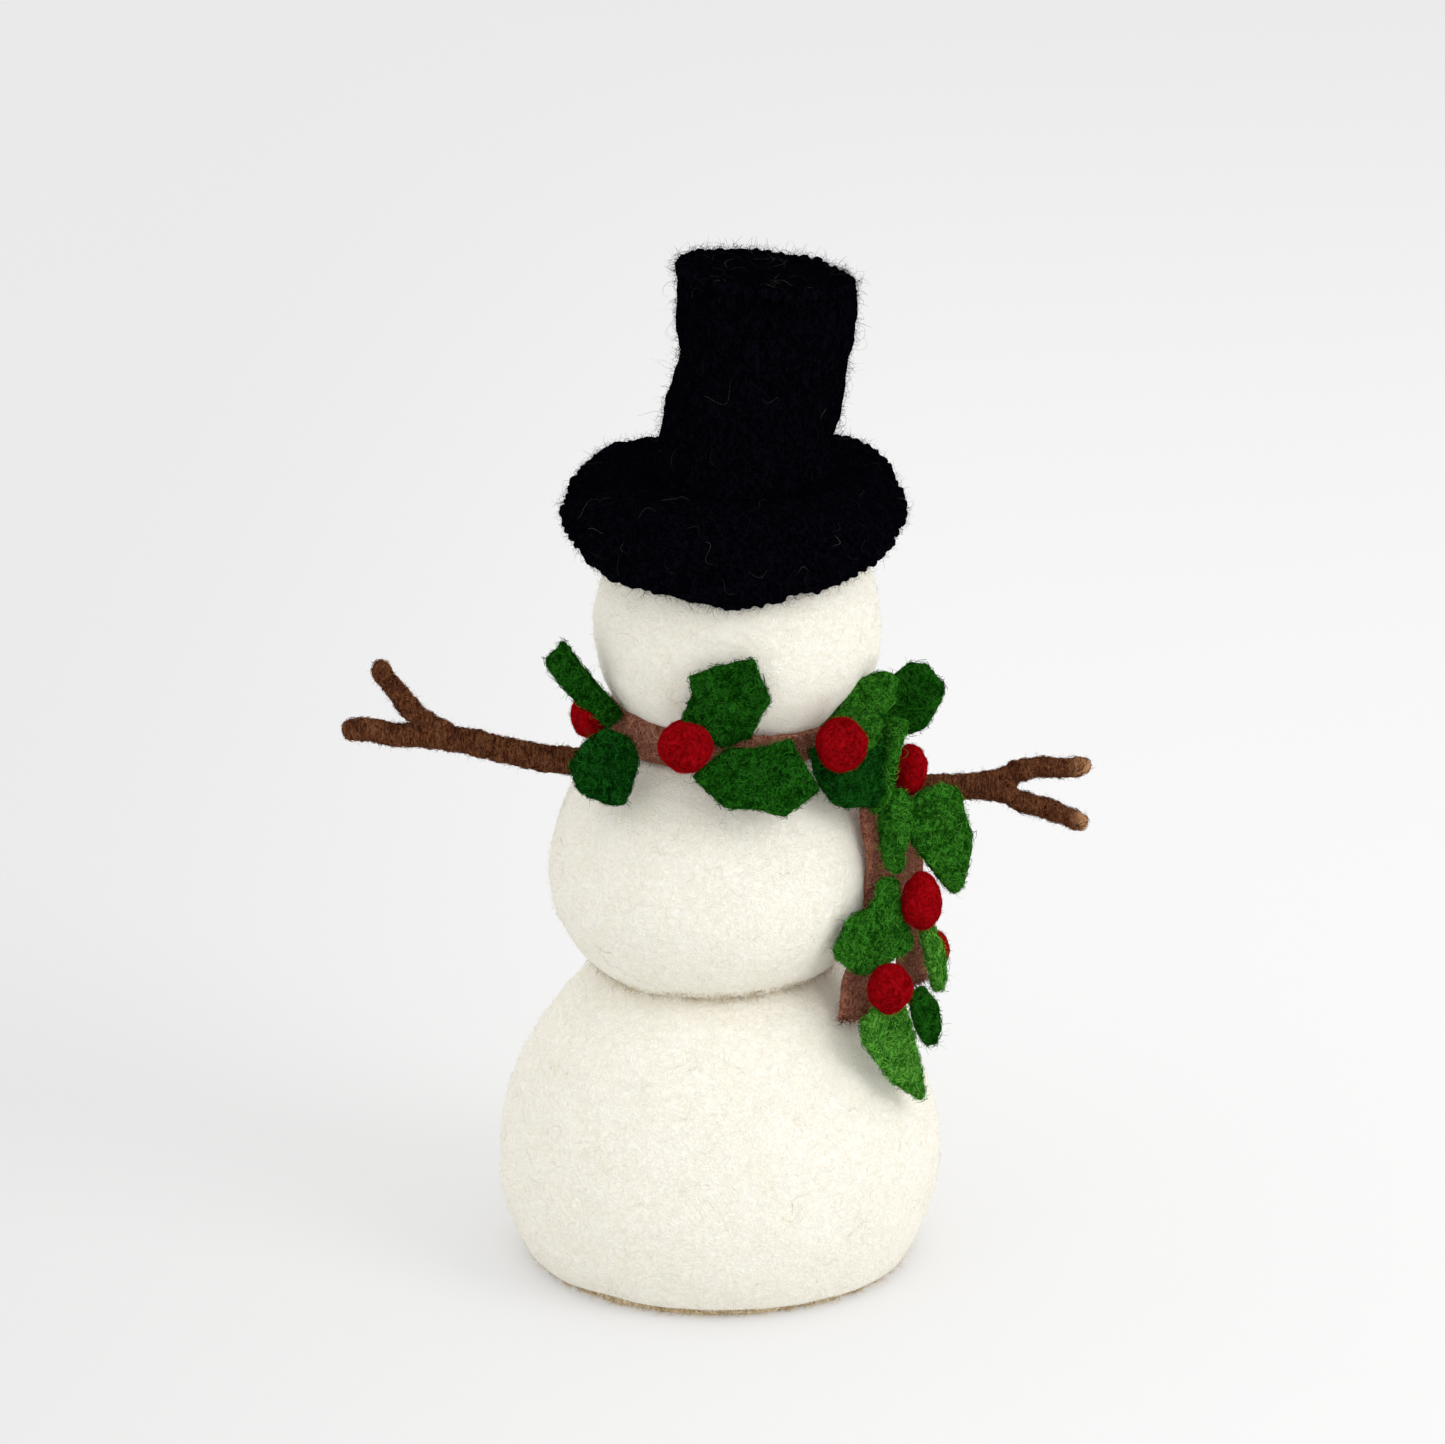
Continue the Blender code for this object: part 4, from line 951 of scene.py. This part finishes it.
def build_brim():
    runs = shares(BRIM_RADIUS - BRIM_HOLE, BRIM_THICKNESS, 1.4)
    rings = []
    for angle in circle(420):
        line = np.array([brim_point(angle, share) for share in runs])
        line[:, 2] -= BRIM_THICKNESS / 2
        rings.append(section(line, sheet_sides(line), BRIM_THICKNESS))
    points, faces = looped(np.array(rings))
    reach = np.hypot(points[:, 0] - BRIM_X, points[:, 1])
    turn = np.arctan2(points[:, 1], points[:, 0] - BRIM_X)
    stitches = round(tau * BRIM_RADIUS / STITCH_PITCH)
    near_edge = np.clip((reach - 40) / 5, 0, 1)
    points[:, 2] += near_edge * 0.12 * np.sin(stitches * turn)
    skin = felted((points, faces), "brim", 21)
    brim = stand_in("hat_brim_skin", skin, "navy", "hat", "navy_felt", ["hat_brim"])
    grow(brim, "hat_brim_fuzz", "navy", skin, BRIM_FIBRES, "brim fuzz")
    lay(brim, "hat_brim_strays", "grey strays", skin, BRIM_STRAYS, "brim strays", upward(0.3))


def brim_edge(angle):
    """The middle of the brim's edge."""
    return brim_point(angle, 1.0) - np.array([0.0, 0.0, BRIM_THICKNESS / 2])


def knots(centres, radius, stitch_count, swell):
    """A closed cord whose thickness swells once for each stitch."""
    count = len(centres)
    forward = unit(np.roll(centres, -1, axis=0) - np.roll(centres, 1, axis=0))
    wide = unit(np.cross(forward, np.array([0.0, 0.0, 1.0])))
    deep = np.cross(forward, wide)
    pulse = 1 + swell * np.sin(tau * stitch_count * np.arange(count) / count)
    return looped(centres[:, None] + spokes(wide, deep, 10) * (radius * pulse)[:, None, None])


def legs(starts, ends, radius):
    """Short stitches of yarn laid from each start to each end, as one skin."""
    radii = np.tile((radius * np.array([0.5, 0.95, 1.0, 0.85, 0.3]))[:, None], (1, 7))
    stitches = []
    for start, end in zip(starts, ends):
        path = start + (end - start) * np.linspace(0, 1, 5)[:, None]
        stitches.append(capped(tube(path, radii, 7)))
    return joined(*stitches)


def sew(name, yarn, kind, count, seed):
    """Yarn stitches on the hat as one felted piece, with fuzz over them."""
    made = stand_in(name + "_yarn", felted(yarn, kind, seed), "navy yarn", "hat", "navy_yarn", [name])
    grow(made, name + "_fuzz", "navy yarn", yarn, count, kind + " fuzz")


def build_brim_stitching():
    stitches = round(tau * BRIM_RADIUS / STITCH_PITCH)
    angles = circle(stitches * 8)
    out = np.stack([np.cos(angles), np.sin(angles), 0 * angles], -1)
    edge = np.array([brim_edge(angle) for angle in angles]) + out * 0.1
    edge += out * (0.16 * np.sin(stitches * angles))[:, None]
    cord = knots(edge, YARN_RADIUS + 0.2, stitches, 0.12)
    starts, ends = [], []
    for angle in circle(stitches):
        starts.append(brim_point(angle, 1.0) + np.array([0.3 * cos(angle), 0.3 * sin(angle), -0.5]))
        ends.append(brim_point(angle + 0.01, 0.84) + np.array([0.0, 0.0, 0.05]))
    yarn = joined(cord, legs(starts, ends, 0.62))
    sew("hat_brim_stitching", yarn, "brim yarn", BRIM_YARN_FIBRES, 23)


def crown_ring(z, around):
    """Points round the outside of the crown at one height."""
    heights, left, right = np.array(CROWN_SIDES).T
    low, high = np.interp(z, heights, left), np.interp(z, heights, right)
    t = (z - heights[0]) / (heights[-1] - heights[0])
    angles = circle(around)
    x = (high - low) / 2 * np.cos(angles)
    y = (CROWN_DEPTH - CROWN_WAIST * sin(pi * t)) * np.sin(angles)
    return np.stack([(low + high) / 2 + x, y, z + TOP_TILT * x * t], -1)


def build_crown():
    around = 260
    base, top = CROWN_SIDES[0][0], CROWN_SIDES[-1][0]
    runs = base + (top - base) * shares(top - base, CROWN_WALL, 1.2)
    walls = np.array([crown_ring(z, around) for z in runs])
    for _ in range(3):
        walls[1:-1] = (walls[:-2] + 2 * walls[1:-1] + walls[2:]) / 4
    rings = []
    for k in range(around):
        angle = tau * k / around
        out = np.tile([cos(angle), sin(angle), 0.0], (len(runs), 1))
        rings.append(section(walls[:, k] - out * CROWN_WALL / 2, out, CROWN_WALL))
    skin = felted(looped(np.array(rings)), "crown", 31)
    crown = stand_in("hat_crown_skin", skin, "navy", "hat", "navy_felt", ["hat_crown"])
    outside = beyond(12, 22.0)
    grow(crown, "hat_crown_fuzz", "navy", skin, CROWN_FIBRES, "crown fuzz", outside)
    lay(crown, "hat_crown_strays", "grey strays", skin, CROWN_STRAYS, "crown strays", outside, 26.0)
    grow(crown, "hat_crown_wisps", "navy", skin, CROWN_WISPS, "crown wisps", outside)


def top_point(reach, angle, up):
    """A point over the crown's top, by its reach and turn in the plane of the tilted disc."""
    across = reach * cos(angle)
    return np.array([TOP_X + across, reach * sin(angle), TOP_Z + up + TOP_TILT * across])


def build_top():
    angles = circle(200)
    rings = [[top_point(reach, angle, up) for angle in angles] for reach, up in TOP_RINGS]
    for reach in np.linspace(22, 0.4, 18):
        dish = 2.7 - 1.8 * (1 - (reach / 25) ** 2)
        rings.append([top_point(reach, angle, dish) for angle in angles])
    skin = felted(capped(np.array(rings)), "top", 41)
    top = stand_in("hat_top_skin", skin, "navy", "hat", "navy_felt", ["hat_top"])
    grow(top, "hat_top_fuzz", "navy", skin, TOP_FIBRES, "top fuzz", upward(-0.2))
    lay(top, "hat_top_strays", "grey strays", skin, TOP_STRAYS, "top strays", upward(0.5))


def build_top_stitching():
    reach = TOP_RADIUS - 0.2
    stitches = round(tau * reach / STITCH_PITCH)
    angles = circle(stitches * 8)
    wobble = 0.35 * np.sin(stitches * angles)
    centres = [top_point(reach + push, angle, 1.5) for angle, push in zip(angles, wobble)]
    cord = knots(np.array(centres), YARN_RADIUS + 0.5, stitches, 0.2)
    turns = circle(stitches)
    starts = [top_point(25.4, angle, 2.0) for angle in turns]
    over = [top_point(21.2, angle, 2.5) for angle in turns]
    under = [top_point(25.9, angle, -2.8) for angle in turns]
    yarn = joined(cord, legs(starts, over, 0.7), legs(starts, under, 0.7))
    sew("hat_top_stitching", yarn, "top yarn", TOP_YARN_FIBRES, 43)


def rounded_end(run, radius):
    """The share of its radius that a stem has, at each run in from its rounded end."""
    return np.sqrt(np.clip(1 - (1 - np.clip(run / radius, 0, 1)) ** 2, 0.01, 1))


def wound_skin(stations, root, tip, seed):
    """Wool wound round a wire: ridges that cross the stem at a slant, over a core with rounded ends."""
    path = smooth_path([(x, ARM_Y, z) for x, z in stations], 0.3)
    forward = unit(path[1] - path[0])
    path = np.concatenate([path[0] - forward * np.linspace(root, 0.3, 10)[:, None], path])
    run = run_along(path)
    base = root + (tip - root) * run / run[-1]
    ahead, behind = rounded_end(run[-1] - run, tip), rounded_end(run, root)
    around = 28
    angles = circle(around)
    slant = tau * run[:, None] / WRAP_PITCH + angles[None, :] + 1.4 * np.sin(run[:, None] / 3.1 + seed)
    ridges = 0.18 * np.abs(np.sin(slant / 2)) + 0.10 * np.sin(slant * 0.37 + 2 * angles[None, :])
    radii = (base[:, None] + ridges - 0.1) * ahead[:, None] * behind[:, None]
    return felted(capped(tube(path, radii, around)), "arm", seed)


def build_arms():
    for number, (name, (stems, body, count)) in enumerate(ARMS.items()):
        skin = joined(*(wound_skin(*stem, 51 + number + k) for k, stem in enumerate(stems)))
        wool = "brown wool tanned" if "right" in name else "brown wool"
        replaced = [name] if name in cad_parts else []
        made = stand_in(name + "_skin", skin, wool, body, "brown_wound_wool", replaced)
        grow(made, name + "_fuzz", "brown wool", skin, count, "arm fuzz")
        lay(made, name + "_wraps", "brown wool", skin, count // 2, "arm wraps", round_by=4.2)


def strap_skin(line, wides, faces_to, width, seed):
    """A flat strap down a line: closed, with rounded edges, cut ends and a felted surface."""
    runs = shares(width, STRAP_THICKNESS, 0.9) - 0.5
    run = run_along(line)
    ease = np.sqrt(1 - (1 - np.clip(np.minimum(run, run[-1] - run) / 1.2, 0, 1)) ** 2)
    rings = []
    for point, wide, face, soft in zip(line, wides, faces_to, ease):
        across = point + wide * (runs * width)[:, None]
        rings.append(section(across, np.tile(face, (len(across), 1)), STRAP_THICKNESS, max(soft, 0.05)))
    return felted(capped(np.array(rings)), "tail", seed)


def build_tails():
    tails = {"tail_strap_inner": INNER_TAIL, "tail_strap_outer": OUTER_TAIL}
    for number, (name, stations) in enumerate(tails.items()):
        line = smooth_path(stations, 0.9)
        forward = unit(np.gradient(line, axis=0))
        turn = np.radians(np.linspace(*TAIL_TURNS[name], len(line)))
        face = np.stack([np.cos(turn), np.sin(turn), 0 * turn], -1)
        face = unit(face - forward * (face * forward).sum(1)[:, None])
        wide = np.cross(forward, face)
        skin = strap_skin(line, wide, face, STRAP_WIDTH, 61 + number)
        made = stand_in(name + "_skin", skin, "brown felt", "garland_tail", "brown_felt", [name])
        grow(made, name + "_fuzz", "brown felt", skin, TAIL_FIBRES, "tail fuzz")
        grow(made, name + "_strays", "tan strays", skin, TAIL_STRAYS, "tail strays")
        cut_end = between(0.0, line[-1][2] + 2.0)
        grow(made, name + "_ragged_end", "brown felt", skin, TAIL_END_FIBRES, "tail end", cut_end)


def build_collar():
    (low_x, low_radius, low_z), (high_x, high_radius, high_z) = COLLAR_EDGES
    width = hypot(high_radius - low_radius, high_z - low_z)
    runs = shares(width, STRAP_THICKNESS, 1.0)
    rings = []
    for angle in circle(420):
        x = (low_radius + (high_radius - low_radius) * runs) * cos(angle)
        y = (low_radius + (high_radius - low_radius) * runs) * sin(angle)
        z = low_z + (high_z - low_z) * runs + COLLAR_TILT * x
        line = np.stack([low_x + (high_x - low_x) * runs + x, y, z], -1)
        slope = unit(np.array([cos(angle) * 13.5, sin(angle) * 13.5, -6.0]))
        line -= slope * STRAP_THICKNESS / 2
        rings.append(section(line, np.tile(slope, (len(line), 1)), STRAP_THICKNESS))
    skin = felted(looped(np.array(rings)), "collar", 71)
    made = stand_in("collar_strap_skin", skin, "brown felt", "snowman", "brown_felt", ["collar_strap"])
    grow(made, "collar_strap_fuzz", "brown felt", skin, COLLAR_FIBRES, "collar fuzz")
    grow(made, "collar_strap_strays", "tan strays", skin, COLLAR_STRAYS, "collar strays", beyond(3, 33))


def rounded_outline(corners, step=0.4, soft=0.8):
    """Points a step apart round a cut outline, with its corners rounded."""
    corners = np.array(corners, float)
    after = np.roll(corners, -1, axis=0)
    line = []
    for here, there in zip(corners, after):
        count = max(1, round(np.linalg.norm(there - here) / step))
        line += [here + (there - here) * k / count for k in range(count)]
    line = np.array(line)
    reach = round(soft / step)
    return sum(np.roll(line, shift, axis=0) for shift in range(-reach, reach + 1)) / (2 * reach + 1)


def inside(points, outline):
    """Whether each flat point is inside a closed outline."""
    x, y = points[:, :1], points[:, 1:]
    ax, ay = outline[:, 0], outline[:, 1]
    bx, by = np.roll(ax, -1), np.roll(ay, -1)
    rise = np.where(by == ay, 1e-9, by - ay)
    crossing = ((ay > y) != (by > y)) & (x < (bx - ax) * (y - ay) / rise + ax)
    return crossing.sum(1) % 2 == 1


def flat_leaf(edge):
    """Points and triangles that fill a cut outline, and how deep in from the edge each point lies."""
    low, high = edge.min(0), edge.max(0)
    x, y = np.meshgrid(np.arange(low[0], high[0], LEAF_GRID), np.arange(low[1], high[1], LEAF_GRID))
    grid = np.stack([x.ravel(), y.ravel()], -1) + RANDOM.uniform(-0.16, 0.16, (x.size, 2))
    grid = grid[inside(grid, edge)]
    depth = np.linalg.norm(grid[:, None] - edge[None], axis=2).min(1)
    grid, depth = grid[depth > 0.3], depth[depth > 0.3]
    flat = np.concatenate([edge, grid])
    depth = np.concatenate([np.zeros(len(edge)), depth])
    loop = [(k, (k + 1) % len(edge)) for k in range(len(edge))]
    _, _, cells, origin, _, _ = delaunay_2d_cdt([Vector(p) for p in flat.tolist()], loop, [], 1, 1e-6)
    kept = np.array([found[0] for found in origin])
    return flat, depth, kept[np.array([list(cell) for cell in cells])]


def leaf_skin(outline, base, tip, face, bend, fold, seed):
    """A cut felt leaf: two layers that meet at a rounded rim, bent along the leaf and folded at its rib."""
    edge = rounded_outline(OUTLINES[outline])
    count = len(edge)
    flat, depth, cells = flat_leaf(edge)
    height = rim_height(depth, LEAF_THICKNESS)
    base, tip, face = np.array(base, float), np.array(tip, float), np.array(face, float)
    length = np.linalg.norm(tip - base)
    along = (tip - base) / length
    up = unit(face - along * (face @ along))
    wide = np.cross(along, up)
    t = np.clip(flat[:, 1] / length, 0, 1)
    waves = 0.5 * rough(np.c_[flat, 0 * t], 9.0, seed)
    arch = bend * 4 * t * (1 - t) + fold * np.abs(flat[:, 0]) / 10 + waves
    layers = []
    for side in (1, -1):
        rise = arch + side * height
        layers.append(base + wide * flat[:, :1] + along * flat[:, 1:] + up * rise[:, None])
    under = np.arange(len(flat))
    under[count:] += len(flat) - count
    points = np.concatenate([layers[0], layers[1][count:]])
    faces = outward(points, np.concatenate([cells, under[cells][:, ::-1]]))
    after = np.roll(edge, -1, axis=0)
    area = 0.5 * abs(np.sum(edge[:, 0] * after[:, 1] - after[:, 0] * edge[:, 1]))
    return felted((points, faces), "leaf", seed), area, edge.max(0) - edge.min(0)


def build_leaves():
    for number, (name, (*plan, wool)) in enumerate(LEAVES.items()):
        skin, area, size = leaf_skin(*plan, 80 + number)
        body, held = ("garland_tail", "hung") if "_tail_" in name else ("snowman", "laid")
        made = stand_in(name + "_skin", skin, wool, body, "green_felt", [name])
        grow(made, name + "_fuzz", wool, skin, int(LEAF_FUZZ_DENSITY * area), "leaf fuzz")
        lay(made, name + "_curls", wool, skin, int(LEAF_CURL_DENSITY * area), "leaf curls")
        grow(made, name + "_strays", wool, skin, LEAF_STRAYS, "leaf strays")


def build_berries():
    for number, (name, (centre, radius, half)) in enumerate(BERRIES.items()):
        skin = pebble((radius, radius, half), centre, "berry", 101 + number, 56, 40)
        body = "garland_tail" if "_tail_" in name else "snowman"
        made = stand_in(name + "_skin", skin, "berry red", body, "red_felted_wool", [name])
        grow(made, name + "_fuzz", "berry red", skin, BERRY_FIBRES, "berry fuzz")
        lay(made, name + "_curls", "berry red", skin, BERRY_CURLS, "berry curls", round_by=radius)


def build_nose():
    """A carrot nose that tapers and droops a little, with faint ridges round it."""
    run = np.linspace(0, 1, 60)
    start = np.array(NOSE_START)
    path = start + np.stack([0 * run, NOSE_LENGTH * run, -NOSE_DROP * run**2], -1)
    radius = NOSE_RADIUS * np.interp(run, *NOSE_TAPER)
    ridged = radius[:, None] * (1 + 0.03 * np.sin(run * 60))[:, None]
    skin = felted(capped(tube(path, np.tile(ridged, (1, 30)), 30)), "nose", 121)
    nose = stand_in("nose_skin", skin, "carrot orange", "snowman", "orange_felt", ["nose"])
    grow(nose, "nose_fuzz", "carrot orange", skin, NOSE_FIBRES, "nose fuzz")


def build_coals():
    """Two coal eyes and three coal buttons, each set a little way into the ball."""
    for number, (name, radius) in enumerate(COALS.items()):
        low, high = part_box(name)
        centre = (np.array(low) + np.array(high)) / 2 / MM - np.array([0.0, 0.8, 0.0])
        skin = pebble((radius, radius, radius), centre, "coal", 131 + number, 40, 28)
        coal = stand_in(name + "_skin", skin, "coal", "snowman", "black_felt", [name])
        grow(coal, name + "_fuzz", "coal", skin, COAL_FIBRES, "coal fuzz")


def finish_inner_parts():
    """Materials for the CAD parts that stay: the fillings, the rod and the wires."""
    wood, steel = rod_wood(), drawn_steel()
    for name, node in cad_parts.items():
        if name.endswith("_filling"):
            paint = FELT["filling"]
        elif name.endswith("_wire"):
            paint = steel
        elif name == "spine_rod":
            paint = wood
        else:
            continue
        node.data.materials.clear()
        node.data.materials.append(paint)


def build_floor():
    """Pale paper with painted light: a painted shade deeper to the left and far behind the figure, lighter
    on the right where the lamp falls, and a painted glow over all of it.
    """
    made, tree, shader = blank("pale floor")
    place = put(tree, "TexCoord").outputs["Object"]
    parts = put(tree, "SeparateXYZ", {"Vector": place})
    left, right, far = [(grey, grey, grey, 1) for grey in (LEFT_SHADED_GREY, RIGHT_LIT_GREY, FAR_SHADED_GREY)]
    # Painted shade: the floor darker to the left and far back, lighter to the right.
    near = mixed(tree, ramped(tree, parts.outputs["X"], *FLOOR_TURNS_RIGHT), left, right)
    colour = mixed(tree, ramped(tree, parts.outputs["Y"], *FLOOR_TURNS_FAR), near, far)
    feed(tree, shader, {"Base Color": colour, "Roughness": 0.95, "Specular IOR Level": 0.0})
    # Painted glow: the floor gives off its own light, which brightens it and lights the figure from below.
    feed(tree, shader, {"Emission Color": (1.0, 1.0, 1.0, 1.0), "Emission Strength": FLOOR_PAINTED_GLOW})
    mesh = bpy.data.meshes.new("floor")
    corners = [(FLOOR_HALF * x, FLOOR_HALF * y, 0) for x, y in ((-1, -1), (1, -1), (1, 1), (-1, 1))]
    mesh.from_pydata(corners, [], [(0, 1, 2, 3)])
    mesh.materials.append(made)
    floor = add_object("floor", mesh)


def lamp(name, at, aim, size, power, colour):
    """A soft square lamp, aimed at a point."""
    data = bpy.data.lights.new(name, "AREA")
    data.size = size
    data.energy = power
    data.color = colour
    made = add_object(name, data)
    made.location = at
    made.rotation_euler = (Vector(aim) - Vector(at)).to_track_quat("-Z", "Y").to_euler()


def build_light():
    world = bpy.data.worlds.new("studio")
    world.use_nodes = True
    sky = world.node_tree.nodes["Background"]
    feed(world.node_tree, sky, {"Color": (1.0, 1.0, 1.0, 1.0), "Strength": SKY_STRENGTH})
    bpy.context.scene.world = world
    lamp("key", *KEY_LAMP)
    bpy.context.scene.view_settings.view_transform = "Standard"
    bpy.context.scene.view_settings.look = "None"


def build_camera():
    lift = radians(CAMERA_ELEVATION)
    target = Vector(CAMERA_TARGET) * MM
    back = Vector((0.0, -cos(lift), sin(lift)))
    data = bpy.data.cameras.new("camera")
    data.sensor_width = SENSOR
    data.lens = SENSOR * CAMERA_DISTANCE / VIEW_WIDTH
    camera = add_object("camera", data)
    camera.location = target + back * CAMERA_DISTANCE * MM
    camera.rotation_euler = (-back).to_track_quat("-Z", "Y").to_euler()
    bpy.context.scene.camera = camera


build_camera()
build_light()
build_floor()
finish_inner_parts()
build_balls()
build_sole()
build_crown()
build_top()
build_top_stitching()
build_brim()
build_brim_stitching()
build_arms()
build_collar()
build_tails()
build_leaves()
build_berries()
build_nose()
build_coals()
